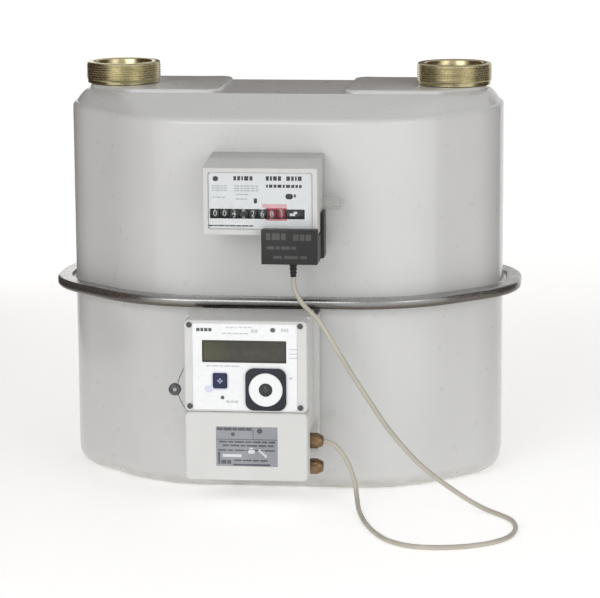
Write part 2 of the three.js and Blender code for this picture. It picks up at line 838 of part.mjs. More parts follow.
// Upright rod with an inner arm to the diaphragm and an upper arm to the crank.
function flagRod(turn, pinTop) {
  const rod = new THREE.Vector2(-flagX, -flagY);
  const pinAngle = Math.PI + rodAngle + turn;
  const pin = new THREE.Vector2(Math.cos(pinAngle), Math.sin(pinAngle)).multiplyScalar(pinReach);
  const z0 = flag.innerArmHeight;
  const z1 = z0 + flag.innerArmThickness;
  const post = rodAlongZ(flag.radius, rod.x, rod.y, unit.bottom + unit.wall + 1, topArmTop, 12);
  const reach = -flag.eyeSlotIn - 5;
  const w = flag.innerArmWidth / 2;
  const arm = box(rod.x, reach + 2, rod.y - w, rod.y + w, z0, z1);
  const eyeEnd = flag.eyeSlotOut + 3;
  const eyeMiddle = (reach + eyeEnd) / 2;
  const eye = roundedRect(eyeMiddle, rod.y, eyeEnd - reach, 2 * flag.eyeHalfWidth, 2);
  const slotWidth = flag.eyeSlotIn + flag.eyeSlotOut;
  const slotMiddle = (flag.eyeSlotOut - flag.eyeSlotIn) / 2;
  const slot = new THREE.Path();
  traceRoundedRect(slot, slotMiddle, rod.y, slotWidth, 2 * flag.eyeSlotHalfWidth, 2);
  eye.holes.push(slot);
  const upper = linkShape(rod, pin, flag.topArmWidth);
  return join(
    post,
    arm,
    slabFacingUp(eye, z0, z1, 2),
    slabFacingUp(upper, topArmTop - flag.topArmThickness, topArmTop, 5),
    rodAlongZ(flag.pinRadius, pin.x, pin.y, topArmTop - 1, pinTop, 10),
  );
}

function valveTable() {
  const w = unitWidth - 2 * valve.tableInset;
  const d = 2 * (unitHalfDepth - valve.tableInset);
  const shape = roundedRect(0, 0, w, d, 6);
  const [halfWidth, halfLength] = [valve.portWidth / 2, valve.portLength / 2];
  const ports = [];
  [-1, 1].forEach((side) => {
    addRoundHole(shape, side * flagX, side * flagY, flag.radius + 2 * gap);
    [-1, 0, 1].forEach((place) => {
      const x = side * valveX + place * valve.portPitch;
      const y = side * valveY;
      ports.push(box(
        x - halfWidth, x + halfWidth, y - halfLength, y + halfLength, tableBottom - 1, tableTop + 1,
      ));
    });
  });
  addRoundHole(shape, union.spacing / 2 - duct.offset, 0, duct.bore);
  return cut(toSolid(slabFacingUp(shape, tableBottom, tableTop, 6)), ...ports);
}

// The outlet duct rises from the valve table and widens over the outlet connector's spigot.
function outletDuct() {
  const wide = union.spigotRadius + gap + duct.wall;
  const narrow = duct.bore + duct.wall;
  const bendZ = crankArmBottom;
  const mouthZ = spigotBottom + 6;
  const ring = (radius, x, z) => {
    const points = [];
    const sides = 24;
    for (let i = 0; i < sides; i += 1) {
      const angle = (2 * Math.PI * i) / sides;
      points.push(new THREE.Vector3(x + radius * Math.cos(angle), radius * Math.sin(angle), z));
    }
    return points;
  };
  const low = union.spacing / 2 - duct.offset;
  const high = union.spacing / 2;
  return loft([
    ring(narrow, low, tableTop + gap),
    ring(narrow, low, bendZ - 40),
    ring(wide, high, bendZ + 10),
    ring(wide, high, mouthZ),
    ring(wide - duct.wall, high, mouthZ),
    ring(wide - duct.wall, high, bendZ + 10),
    ring(narrow - duct.wall, low, bendZ - 40),
    ring(narrow - duct.wall, low, tableTop + gap),
  ], true);
}

function slideValve() {
  const top = valveBottom + valve.height;
  const shell = box(
    -valveX - valve.bodyLength / 2, -valveX + valve.bodyLength / 2,
    -valveY - valve.bodyWidth / 2, -valveY + valve.bodyWidth / 2, valveBottom, top,
  );
  const span = valve.portPitch + valve.portWidth / 2;
  const hollow = box(
    -valveX - span + 7, -valveX + span - 7,
    -valveY - valve.portLength / 2, -valveY + valve.portLength / 2, valveBottom - 1, top - 2.5,
  );
  const reach = crank.eccentricRadius + crank.eccentricOffset + valve.travel + 2;
  const elbow = reach + valve.armWidth;
  const half = valve.armWidth / 2;
  const armBottom = top - valve.armThickness;
  const root = box(
    -valveX + valve.bodyLength / 2 - valve.armOverlap, -reach,
    -valveY, -valveY + valve.armWidth, armBottom, top,
  );
  const upright = box(-elbow, -reach, -valveY, half, armBottom, top);
  const finger = box(-elbow, 1 - reach, -half, half, armBottom, top);
  return cut(join(shell, root, upright, finger), hollow);
}

// Upright crankshaft: eccentric for the valves, crown wheel for the index, crank pin on top.
function crankWheel() {
  const wheelTop = crank.wheelBottom + crank.wheelThickness;
  const teeth = [];
  const toothLength = crank.wheelRadius - crank.toothInner;
  for (let i = 0; i < crank.teeth; i += 1) {
    const tooth = new THREE.BoxGeometry(toothLength, crank.toothWidth, crank.toothHeight + 1);
    tooth.translate(crank.toothInner + toothLength / 2 - 0.05, 0, wheelTop - 1 + (crank.toothHeight + 1) / 2);
    teeth.push(tooth.rotateZ(((i + 0.5) * 2 * Math.PI) / crank.teeth));
  }
  const pin = new THREE.Vector2(0, crank.radius);
  const arm = linkShape(new THREE.Vector2(), pin, crank.armWidth);
  const pinTop = rearLinkBottom + crank.linkThickness + 1.5;
  const eccentricTop = crank.wheelBottom + 1;
  return join(
    rodAlongZ(crank.shaftRadius, 0, 0, tableTop + gap, crankArmTop, 12),
    rodAlongZ(
      crank.eccentricRadius, crank.eccentricOffset, 0, eccentricTop - crank.eccentricThickness, eccentricTop, 16,
    ),
    rodAlongZ(crank.wheelRadius, 0, 0, crank.wheelBottom, wheelTop, 24),
    ...teeth,
    slabFacingUp(arm, crankArmBottom, crankArmTop, 4),
    rodAlongZ(crank.pinRadius, pin.x, pin.y, crankArmTop - 1, pinTop, 10),
  );
}

// A flat link from the crank pin to the point above one flag rod's upper pin.
function crankLink(pinAngle, bottom) {
  const from = new THREE.Vector2(0, crank.radius);
  const to = new THREE.Vector2(Math.cos(pinAngle), Math.sin(pinAngle)).multiplyScalar(pinReach);
  const shape = linkShape(from, to, crank.linkWidth);
  addRoundHole(shape, from.x, from.y, crank.pinRadius + 2 * gap);
  addRoundHole(shape, to.x, to.y, flag.pinRadius + gap);
  return slabFacingUp(shape, bottom, bottom + crank.linkThickness, 5);
}

function addMeasuringUnit() {
  const rear = new THREE.Group();
  rear.rotation.z = Math.PI;
  meter.add(rear);
  addNode(meter, 'measuring_housing', measuringHousing(), 'innerPlastic');
  const parents = { front: meter, rear };
  for (const [side, parent] of Object.entries(parents)) {
    addNode(parent, `${side}_chamber_cover`, chamberCover(), 'innerPlastic');
    addNode(parent, `${side}_diaphragm`, diaphragmSheet(), 'fabric');
    addNode(parent, `${side}_diaphragm_plate`, diaphragmPlate(), 'steel');
    addNode(parent, `${side}_slide_valve`, slideValve(), 'valvePlastic');
  }
  addNode(meter, 'front_flag_rod', flagRod(-pinTurn, frontLinkBottom - 1), 'steel');
  addNode(rear, 'rear_flag_rod', flagRod(pinTurn, rearLinkBottom - 1), 'steel');
  addNode(meter, 'front_crank_link', crankLink(Math.PI + rodAngle - pinTurn, frontLinkBottom), 'steel');
  addNode(meter, 'rear_crank_link', crankLink(rodAngle + pinTurn, rearLinkBottom), 'steel');
  addNode(meter, 'valve_table', valveTable(), 'valvePlastic');
  addNode(meter, 'outlet_duct', outletDuct(), 'innerPlastic');
  addNode(meter, 'crank_wheel', crankWheel(), 'steel');
}

// ---------------------------------------------------------------- index

// A toothed disc whose first tooth points along +Y of its own plane, turned by `turn`.
function gearShape(tip, root, teeth, width, turn) {
  const shape = new THREE.Shape();
  const half = width / 2;
  for (let i = 0; i < teeth; i += 1) {
    const middleAngle = turn + (2 * Math.PI * i) / teeth;
    const corners = [
      [root, -half * 1.25],
      [tip, -half * 0.75],
      [tip, half * 0.75],
      [root, half * 1.25],
    ];
    corners.forEach(([radius, offset], place) => {
      const angle = middleAngle + offset / radius;
      const x = -radius * Math.sin(angle);
      const y = radius * Math.cos(angle);
      if (i === 0 && place === 0) {
        shape.moveTo(x, y);
      } else {
        shape.lineTo(x, y);
      }
    });
  }
  return shape;
}

function indexDriveShaft() {
  const wormRear = layshaftY + drive.wormLength / 2;
  const pinion = slabFacingFront(
    gearShape(drive.pinionTip, drive.pinionRoot, crank.teeth, crank.toothWidth, Math.PI),
    -drive.pinionFront, -drive.pinionRear,
  );
  const body = join(
    rodAlongY(drive.shaftRadius, 0, 0, wormRear - 1, -drive.pinionRear + 2, 12),
    pinion,
    rodAlongY(drive.wormRadius, 0, 0, wormRear - drive.wormLength, wormRear, 16),
  );
  return body;
}

// Bush that seals the drive shaft where it leaves the casing.
function driveGland() {
  const front = casingFront - gap;
  const bore = drive.shaftRadius + gap;
  const inside = casingFront + casing.wall + gap;
  const profile = [
    [bore, front],
    [bore, inside + drive.bushFlangeThickness],
    [drive.bushFlange, inside + drive.bushFlangeThickness],
    [drive.bushFlange, inside],
    [drive.bushRadius, inside],
    [drive.bushRadius, front],
  ].reverse();
  return turned(profile, 16);
}

// Side view of the index housing between two depths, `inset` inside its walls.
function indexProfile(front, back, inset) {
  const slope = (index.backHeight - index.frontHeight) / index.depth;
  const roof = (y) => indexBottom + index.frontHeight + slope * (y - indexFront) - inset;
  const shape = new THREE.Shape();
  shape.moveTo(front, indexBottom + inset);
  shape.lineTo(back, indexBottom + inset);
  shape.lineTo(back, roof(back));
  shape.lineTo(front, roof(front));
  shape.closePath();
  return shape;
}

function indexShell(front, back, hollowFront, hollowBack) {
  const outer = slabFacingSide(indexProfile(front, back, 0), indexLeft, indexRight);
  const hollow = slabFacingSide(
    indexProfile(hollowFront, hollowBack, index.wall), indexLeft + index.wall, indexRight - index.wall,
  );
  return cut(toSolid(outer), hollow);
}

function indexBase() {
  const shell = indexShell(indexSplit, indexBack, indexSplit - 1, indexBack - index.wall);
  const shaftHole = rodAlongY(drive.bushRadius, 0, driveHeight, indexBack - index.wall - 1, indexBack + 1, 12);
  const lugMiddle = wheelAxisZ + 4;
  const lugEnd = indexRight + index.sealLugLength;
  const lug = roundedRect(
    (indexRight - 2 + lugEnd) / 2, lugMiddle, index.sealLugLength + 2, index.sealLugHeight, 4,
  );
  const eye = new THREE.Path();
  traceRoundedRect(eye, lugEnd - 7, lugMiddle, 8, index.sealLugHeight - 6, 1.5);
  lug.holes.push(eye);
  const lugBack = indexSplit + 4 + index.sealLugThickness;
  return cut(shell, shaftHole).add(toSolid(slabFacingFront(lug, indexSplit + 4, lugBack)));
}

function indexCover() {
  const shell = indexShell(
    indexFront, indexSplit - gap, indexFront + index.wall, indexSplit + 1,
  );
  const opening = slabFacingFront(
    roundedRect(index.centreX, windowMiddle, index.windowWidth, index.windowHeight, 2),
    indexFront - 1, indexFront + index.wall + 1,
  );
  return cut(shell, opening);
}

function indexPane(thickness, front, clearance) {
  const shape = roundedRect(
    index.centreX, windowMiddle, index.windowWidth - clearance, index.windowHeight - clearance, 2,
  );
  return { shape, front, back: front + thickness };
}

function indexWindow() {
  const { shape, front, back } = indexPane(index.paneThickness, paneFront, 2 * gap);
  return slabFacingFront(shape, front, back, 4);
}

function dialPlate() {
  const { shape, front, back } = indexPane(index.plateThickness, plateFront, 2 * gap);
  const slot = new THREE.Path();
  traceRoundedRect(slot, index.centreX + index.slotShift, wheelAxisZ, index.slotWidth, index.slotHeight, 0.8);
  shape.holes.push(slot);
  return slabFacingFront(shape, front, back, 4);
}

function numberWheel(length) {
  const profile = [
    [index.wheelBore, 0],
    [index.wheelRadius, 0],
    [index.wheelRadius, length],
    [index.wheelBore, length],
  ];
  return turned(profile, 16).rotateZ(-Math.PI / 2);
}

function addIndex() {
  const shaft = addNode(meter, 'index_drive_shaft', indexDriveShaft(), 'brass');
  shaft.position.z = driveHeight;
  const bush = addNode(meter, 'drive_gland', driveGland(), 'brass');
  bush.position.z = driveHeight;
  addNode(meter, 'index_base', indexBase(), 'indexPlastic');
  addNode(meter, 'index_cover', indexCover(), 'indexPlastic');
  addNode(meter, 'index_window', indexWindow(), 'clear');
  addNode(meter, 'dial_plate', dialPlate(), 'white');

  const wheels = new THREE.Group();
  wheels.position.set(0, wheelAxisY, wheelAxisZ);
  meter.add(wheels);
  const wheelLength = index.wheelPitch - index.wheelGap;
  for (let i = 0; i < 8; i += 1) {
    const wheel = addNode(wheels, `number_wheel_${i + 1}`, numberWheel(wheelLength), i < 6 ? 'black' : 'red');
    wheel.position.x = firstWheelX + i * index.wheelPitch;
  }
  const pulseX = firstWheelX + 8 * index.wheelPitch;
  const gearX = pulseX + index.pulseWheelLength;
  const halfPitch = Math.PI / index.gearTeeth;
  const gear = (x, turn) => slabFacingSide(
    gearShape(index.gearTip, index.gearRoot, index.gearTeeth, index.gearToothWidth, turn),
    x, x + index.gearWidth,
  );
  const bore = rodAlongX(index.wheelBore, 0, 0, pulseX - 1, gearX + index.gearWidth + 1, 16);
  const drum = toSolid(numberWheel(index.pulseWheelLength).translate(pulseX, 0, 0));
  const drumGear = cut(toSolid(gear(gearX - 0.2, -Math.PI / 2)), bore);
  addNode(wheels, 'pulse_wheel', drum.add(drumGear), 'black');
  const shaftEnd = gearX + index.gearWidth + 0.6;
  const wheelShaft = rodAlongX(index.wheelShaft, 0, 0, indexLeft + index.wall + gap, shaftEnd, 12);
  addNode(wheels, 'wheel_shaft', wheelShaft, 'steel');
  const layshaft = join(
    rodAlongX(index.wheelShaft, 0, 0, -8, shaftEnd, 12),
    gear(gearX + gap, Math.PI / 2 + halfPitch),
    slabFacingSide(
      gearShape(index.wormWheelTip, index.gearRoot, index.gearTeeth, index.gearToothWidth, 0), -3.5, 3.5,
    ),
  );
  const lay = addNode(wheels, 'index_layshaft', layshaft, 'brass');
  lay.position.y = index.gearDistance;
}

// ---------------------------------------------------------------- pulse transmitter and cable

function pulseTransmitter() {
  const t = transmitter;
  const under = indexBottom - gap;
  const left = transmitterRight - t.width;
  const back = transmitterFront + t.depth;
  const lipTop = indexBottom + t.lipHeight;
  const block = box(left, transmitterRight, transmitterFront, back, transmitterBottom, under);
  const lip = box(left, transmitterRight, transmitterFront, indexFront - gap, transmitterBottom, lipTop);
  const armLeft = indexRight + gap;
  const armRight = armLeft + t.armThickness;
  const armFront = transmitterFront + t.armStart;
  const armTop = indexBottom + t.armHeight;
  const arm = box(armLeft, armRight, armFront, transmitterFront + t.armEnd, transmitterBottom, armTop);
  const foot = box(transmitterRight - 2, armRight, armFront, back, transmitterBottom, under);
  return join(block, lip, arm, foot);
}

function strainRelief() {
  const { reliefTop, reliefEnd, reliefLength } = transmitter;
  const profile = [[0, 0], [reliefEnd, 0]];
  const ribs = 3;
  for (let i = 0; i < ribs; i += 1) {
    const low = ((i + 0.35) * reliefLength) / ribs;
    const high = ((i + 0.7) * reliefLength) / ribs;
    const taper = (z) => reliefEnd + ((reliefTop - reliefEnd) * z) / reliefLength;
    profile.push([taper(low), low], [taper(low) - 0.5, low], [taper(high) - 0.5, high], [taper(high), high]);
  }
  profile.push([reliefTop, reliefLength], [0, reliefLength]);
  return turned(profile, 10).rotateX(Math.PI / 2);
}

// The cable's route: out of the transmitter's strain relief, down across the front of the
// clamp band, round a loop on the floor and up into the converter's upper gland.
// Offsets from the cable's exit: across, forwards and down.
const cableStart = [
  [0, 0, 0],
  [0.6, -0.6, -8.9],
  [4.2, -2, -17.9],
  [9.5, -3, -25.9],
];
// Beyond the converter's right side, ahead of the casing's front wall, and height above the floor.
const cableLoop = [
  [0.8, 64, 193.2],
  [9.1, 64, 184.3],
  [24.5, 64, 159.5],
  [40.5, 64, 133],
  [59.5, 64, 103.5],
  [72.5, 64, 84],
  [86.5, 64, 66.5],
  [101.5, 64, 50],
  [117.5, 64, 36],
  [135.5, 64, 23],
  [153.5, 65, 11.5],
  [169.5, 70, 4.6],
  [183, 81, 2.7],
  [194, 98, 2.6],
  [199, 124, 2.6],
  [194.5, 154, 2.6],
  [181.5, 174, 2.6],
  [160.5, 189, 2.6],
  [132.5, 197, 2.6],
  [106.5, 195, 2.6],
  [85.5, 180, 2.6],
  [70.5, 155, 2.6],
  [58.5, 122, 2.6],
  [51.5, 94, 2.9],
  [47.5, 77, 5.6],
  [45, 64, 12.5],
  [42.5, 56.5, 24],
];
// Offsets from the gland's tip.
const cableEnd = [
  [25.4, -0.5, -26],
  [18.4, 0, -13],
  [9.9, 0, -3.5],
  [0, 0, 0],
];

function cableRoute() {
  const start = new THREE.Vector3(reliefX, reliefY, reliefBottom - gap);
  const end = new THREE.Vector3(glandTip + gap, glandY, gland.upperZ);
  return [
    ...cableStart.map((offset) => new THREE.Vector3(...offset).add(start)),
    ...cableLoop.map(([beyond, ahead, z]) => (
      new THREE.Vector3(converterRight + beyond, casingFront - ahead, z)
    )),
    ...cableEnd.map((offset) => new THREE.Vector3(...offset).add(end)),
  ];
}

function signalCable() {
  const path = new THREE.CatmullRomCurve3(cableRoute(), false, 'centripetal');
  const sides = 8;
  const section = new THREE.Shape();
  for (let i = 0; i < sides; i += 1) {
    const angle = (2 * Math.PI * i) / sides;
    const [x, y] = [cableRadius * Math.cos(angle), cableRadius * Math.sin(angle)];
    if (i === 0) {
      section.moveTo(x, y);
    } else {
      section.lineTo(x, y);
    }
  }
  return new THREE.ExtrudeGeometry(section, { steps: 62, extrudePath: path, bevelEnabled: false });
}

function addTransmitter() {
  addNode(meter, 'pulse_transmitter', pulseTransmitter(), 'black');
  const relief = addNode(meter, 'transmitter_strain_relief', strainRelief(), 'black');
  relief.position.set(reliefX, reliefY, reliefBottom);
  addNode(meter, 'signal_cable', signalCable(), 'cable');
}

// ---------------------------------------------------------------- volume converter

// A rounded pan, open to the rear: outside from `front` to `back`, between two heights.
function frontPan(left, right, low, high, front, back) {
  const edge = converter.edgeRadius;
  const shape = roundedRect(
    (left + right) / 2, (low + high) / 2, right - left - 2 * edge, high - low - 2 * edge,
    converter.cornerRadius - edge,
  );
  const outer = new THREE.ExtrudeGeometry(shape, {
    depth: back - front,
    bevelEnabled: true,
    bevelThickness: edge,
    bevelSize: edge,
    bevelSegments: 2,
    curveSegments: 2,
  });
  outer.rotateX(Math.PI / 2).translate(0, back + edge, 0);
  const wall = converter.wall;
  const behind = box(left - 1, right + 1, back, back + 3 * edge, low - 1, high + 1);
  const hollow = box(left + wall, right - wall, front + wall, back + 1, low + wall, high - wall);
  return cut(toSolid(outer), behind, hollow);
}

function converterCover() {
  const pan = frontPan(
    converterLeft, converterRight, converter.split + gap / 2, converter.top, converterFront, coverBack,
  );
  const c = converter;
  const through = [converterFront - 1, coverInside + 1];
  const play = 2 * c.buttonClearance;
  const displayHole = slabFacingFront(
    roundedRect(displayCentreX, c.displayZ, displayWidth + 2 * gap, c.displayHeight + 2 * gap, 1),
    ...through,
  );
  const buttonHole = slabFacingFront(
    roundedRect(buttonX, c.buttonZ, c.buttonWidth + play, c.buttonHeight + play, 2), ...through,
  );
  const screwHoles = screwPlaces().map(([x, z]) => rodAlongY(c.screwShank + gap, x, z, ...through, 12));
  return cut(pan, displayHole, buttonHole, ...screwHoles);
}

function screwPlaces() {
  const { screwInset, screwTopZ, screwBottomZ } = converter;
  const reach = converter.width / 2 - screwInset;
  return [
    [foilCentreX - reach, screwTopZ],
    [foilCentreX + reach, screwTopZ],
    [foilCentreX - reach, screwBottomZ],
    [foilCentreX + reach, screwBottomZ],
  ];
}

function terminalCover() {
  return frontPan(
    converterLeft, converterRight, converter.bottom, converter.split - gap / 2, converterFront, coverBack,
  );
}

// Outline of the rear housing: its right side steps in below, where the glands come out.
function baseOutline(inset) {
  const shape = new THREE.Shape();
  const left = converterLeft + inset;
  const right = converterRight - inset;
  const [low, high] = [converter.bottom + inset, converter.top - inset];
  const stepX = recessX - inset;
  const stepZ = converter.recessTop + inset;
  shape.moveTo(left, low);
  shape.lineTo(stepX, low);
  shape.lineTo(stepX, stepZ);
  shape.lineTo(right, stepZ);
  shape.lineTo(right, high);
  shape.lineTo(left, high);
  shape.closePath();
  return shape;
}

function converterBase() {
  const outer = slabFacingFront(baseOutline(0), baseFront, converterBack);
  const hollow = slabFacingFront(baseOutline(converter.wall), baseFront - 1, converterBack - converter.wall);
  const wireHoles = [gland.upperZ, gland.lowerZ].map((z) => rodAlongX(
    gland.bore, glandY, z, recessX - converter.wall - 1, recessX + 1, 12,
  ));
  return cut(toSolid(outer), hollow, ...wireHoles);
}

function keypadFoil() {
  const c = converter;
  const width = c.width - 2 * c.foilInset;
  const height = c.foilTop - c.foilBottom;
  const shape = roundedRect(foilCentreX, c.foilBottom + height / 2, width, height, 1.5);
  const openings = [
    [displayCentreX, c.displayZ, displayWidth + 2 * gap, c.displayHeight + 2 * gap, 1],
    [buttonX, c.buttonZ, c.buttonWidth + 2 * c.buttonClearance, c.buttonHeight + 2 * c.buttonClearance, 2],
  ];
  openings.forEach((opening) => {
    shape.holes.push(traceRoundedRect(new THREE.Path(), ...opening));
  });
  return slabFacingFront(shape, foilFront, foilBack, 3);
}

function displayWindow() {
  const c = converter;
  const shape = roundedRect(displayCentreX, c.displayZ, displayWidth, c.displayHeight, 1);
  return slabFacingFront(shape, foilFront, coverInside, 3);
}

function pushButton() {
  const c = converter;
  const travelRoom = 1;
  const flangeFront = coverInside + gap;
  const cap = slabFacingFront(
    roundedRect(buttonX, c.buttonZ, c.buttonWidth, c.buttonHeight, 1.8),
    converterFront - c.buttonProud, flangeFront + travelRoom,
  );
  const rim = slabFacingFront(
    roundedRect(
      buttonX, c.buttonZ, c.buttonWidth + 2 * c.buttonFlange, c.buttonHeight + 2 * c.buttonFlange, 2,
    ),
    flangeFront, flangeFront + travelRoom,
  );
  return join(cap, rim);
}

function opticalPort() {
  const c = converter;
  const back = foilFront - gap;
  const front = back - c.portProud;
  const body = slabFacingFront(
    roundedRect(portX, c.portZ, c.portWidth, c.portHeight, 8), front + 1, back,
  );
  const ring = rodAlongY(c.portRingRadius, portX, c.portZ, front, front + 2, 32);
  const core = rodAlongY(c.portCoreRadius, portX, c.portZ, front - 1, front + 1.6, 20);
  return cut(join(body, ring), core);
}

function coverScrew() {
  const c = converter;
  const seat = converterFront - gap;
  const head = rodAlongY(c.screwHead, 0, 0, seat - 1.6, seat, 16);
  const shank = rodAlongY(c.screwShank, 0, 0, seat - 0.5, converterFront + c.screwLength, 10);
  const slot = box(-c.screwHead, c.screwHead, seat - 2, seat - 0.9, -0.4, 0.4);
  return cut(join(head, shank), slot);
}

function cableGland(isOpen) {
  const g = gland;
  const hex = rodAlongX(g.hexRadius, 0, 0, 0, g.hexLength, 6);
  const nut = rodAlongX(g.nutRadius, 0, 0, g.hexLength - 0.5, g.hexLength + g.nutLength, 20);
  const tipStart = g.hexLength + g.nutLength;
  const tip = new THREE.CylinderGeometry(g.nutRadius, g.tipRadius, g.tipLength, 20);
  tip.rotateZ(Math.PI / 2).translate(tipStart + g.tipLength / 2, 0, 0);
  const body = toSolid(hex).add(toSolid(nut)).add(toSolid(tip));
  const boreStart = isOpen ? -1 : tipStart;
  return cut(body, rodAlongX(g.bore, 0, 0, boreStart, tipStart + g.tipLength + 1, 12));
}

function mountingBracket() {
  const b = bracket;
  const plateFront = converterBack + gap;
  const wallFace = casingFront - gap;
  const t = b.thickness;
  const left = converterLeft + b.leftInset;
  const right = converterRight + b.beyondRight;
  const plate = box(left, right, plateFront, plateFront + t, b.bottom, b.top);
  const sides = [left, right - t].map((x) => box(x, x + t, plateFront, wallFace, b.bottom, b.top));
  return join(plate, ...sides);
}

// A crimped lead seal on a thin wire beside the converter.
const seal = {
  radius: 6,
  hole: 2,
  thickness: 4.5,
  fromConverter: 14, // from the converter's left side to the seal's middle
  z: 113,
  wireRadius: 0.7,
};
// The wire's bow: away from the converter's left side, and up from the seal's middle.
const sealWire = [[1.1, 27], [6.5, 18], [10.5, 8], [11.5, -1], [7.5, -13], [1.1, -23]];

function leadSeal() {
  const x = converterLeft - seal.fromConverter;
  const front = glandY - 2;
  const back = front + seal.thickness;
  const disc = rodAlongY(seal.radius, x, seal.z, front, back, 16);
  const eye = rodAlongY(seal.hole, x, seal.z, front - 1, back + 1, 10);
  const wire = new THREE.CatmullRomCurve3(sealWire.map(
    ([away, up]) => new THREE.Vector3(converterLeft - away, glandY, seal.z + up),
  ));
  const section = new THREE.Shape();
  section.absarc(0, 0, seal.wireRadius, 0, 2 * Math.PI, false);
  const strand = new THREE.ExtrudeGeometry(section, {
    steps: 12, extrudePath: wire, bevelEnabled: false, curveSegments: 3,
  });
  return cut(join(disc, strand), eye);
}

const board = {
  sideRoom: 8,
  behindFront: 7, // from the converter's front face to the board
  thickness: 1.6,
  bottom: 104,
  top: 182,
  moduleThickness: 4,
  moduleMargin: 4, // how much smaller the display module is than its window, at each end
  chipSize: 15,
  chipThickness: 2.5,
};

function circuitBoard() {
  const front = converterFront + board.behindFront;
  const back = front + board.thickness;
  const left = converterLeft + board.sideRoom;
  const right = converterRight - board.sideRoom;
  const plate = box(left, right, front, back, board.bottom, board.top);
  const moduleReach = displayWidth / 2 - board.moduleMargin;
  const moduleHalfHeight = converter.displayHeight / 2 - 1.5;
  const displayModule = box(
    displayCentreX - moduleReach, displayCentreX + moduleReach, front - board.moduleThickness + 0.5, front + 0.5,
    converter.displayZ - moduleHalfHeight, converter.displayZ + moduleHalfHeight,
  );
  const chip = box(
    buttonX, buttonX + board.chipSize, back - 0.5, back + board.chipThickness,
    converter.displayZ - board.chipSize / 2, converter.displayZ + board.chipSize / 2,
  );
  return join(plate, displayModule, chip);
}

const cell = { radius: 8, length: 50, fromBack: 19, fromLeft: 11.5, z: 120 };

function battery() {
  const left = converterLeft + cell.fromLeft;
  return rodAlongX(cell.radius, converterBack - cell.fromBack, cell.z, left, left + cell.length, 20);
}

const terminals = {
  poles: 8,
  pole: 8,
  depth: 16,
  entryRadius: 2.2,
  entryDepth: 8,
  fromLeft: 15.5,
  bottom: 52,
  top: 68,
};

function terminalBlock() {
  const left = converterLeft + terminals.fromLeft;
  const length = terminals.pole * terminals.poles;
  const [front, back] = [glandY - terminals.depth / 2, glandY + terminals.depth / 2];
  const block = toSolid(box(left, left + length, front, back, terminals.bottom, terminals.top));
  const entries = [];
  for (let i = 0; i < terminals.poles; i += 1) {
    entries.push(rodAlongZ(
      terminals.entryRadius, left + (i + 0.5) * terminals.pole, glandY,
      terminals.bottom - 1, terminals.bottom + terminals.entryDepth, 8,
    ));
  }
  return cut(block, ...entries);
}

function addConverter() {
  addNode(meter, 'mounting_bracket', mountingBracket(), 'steel');
  addNode(meter, 'converter_base', converterBase(), 'greyPlastic');
  addNode(meter, 'converter_cover', converterCover(), 'greyPlastic');
  addNode(meter, 'terminal_cover', terminalCover(), 'greyPlastic');
  addNode(meter, 'keypad_foil', keypadFoil(), 'white');
  addNode(meter, 'display_window', displayWindow(), 'display');
  addNode(meter, 'push_button', pushButton(), 'navy');
  addNode(meter, 'optical_port', opticalPort(), 'navy');
  screwPlaces().forEach(([x, z], i) => {
    const screw = addNode(meter, `cover_screw_${i + 1}`, coverScrew(), 'steel');
    screw.position.set(x, 0, z);
  });
  const c = converter;
  const used = addNode(meter, 'cable_gland', cableGland(true), 'brass');
  used.position.set(recessX + gap, glandY, gland.upperZ);
  const spare = addNode(meter, 'spare_gland', cableGland(false), 'brass');
  spare.position.set(recessX + gap, glandY, gland.lowerZ);
  addNode(meter, 'lead_seal', leadSeal(), 'lead');
  addNode(meter, 'circuit_board', circuitBoard(), 'board');
  addNode(meter, 'battery', battery(), 'valvePlastic');
  addNode(meter, 'terminal_block', terminalBlock(), 'board');
}

addCasing();
addMeasuringUnit();
addIndex();
addTransmitter();
addConverter();

export default meter;
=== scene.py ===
# Visual model of a two-pipe gas meter with a volume converter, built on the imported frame.
# Lengths are written in millimetres and turned into metres by MM, apart from the cable's route.

import math

import bmesh
import bpy
from mathutils import Matrix, Vector


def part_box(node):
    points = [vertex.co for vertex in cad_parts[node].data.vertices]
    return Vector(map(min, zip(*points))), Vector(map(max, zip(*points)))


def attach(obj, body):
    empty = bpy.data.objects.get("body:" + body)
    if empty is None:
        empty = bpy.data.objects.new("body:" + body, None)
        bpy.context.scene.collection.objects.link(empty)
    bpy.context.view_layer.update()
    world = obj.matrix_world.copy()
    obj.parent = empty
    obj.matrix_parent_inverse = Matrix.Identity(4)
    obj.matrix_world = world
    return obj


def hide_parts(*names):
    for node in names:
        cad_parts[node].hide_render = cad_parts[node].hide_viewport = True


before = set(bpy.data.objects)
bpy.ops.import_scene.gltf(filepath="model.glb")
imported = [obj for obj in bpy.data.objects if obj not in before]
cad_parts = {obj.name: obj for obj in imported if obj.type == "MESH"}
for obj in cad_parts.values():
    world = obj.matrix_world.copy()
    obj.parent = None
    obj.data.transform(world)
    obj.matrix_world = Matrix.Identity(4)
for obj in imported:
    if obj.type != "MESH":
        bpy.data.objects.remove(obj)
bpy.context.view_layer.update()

MM = 0.001


def box_mm(node):
    """Lowest and highest corner of a CAD node, in millimetres."""
    low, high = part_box(node)
    return Vector(low) / MM, Vector(high) / MM


def centre_mm(node):
    low, high = box_mm(node)
    return (low + high) / 2


def add_object(name, data):
    obj = bpy.data.objects.new(name, data)
    bpy.context.scene.collection.objects.link(obj)
    return obj


# ---------------------------------------------------------------- camera and cable

CAMERA = {
    "place": (0.305075, -2.683754, 0.684651),
    "yaw": 0.109222,
    "pitch": -0.188723,
    "roll": 0.0057266,
    "lens": 161.3,
}


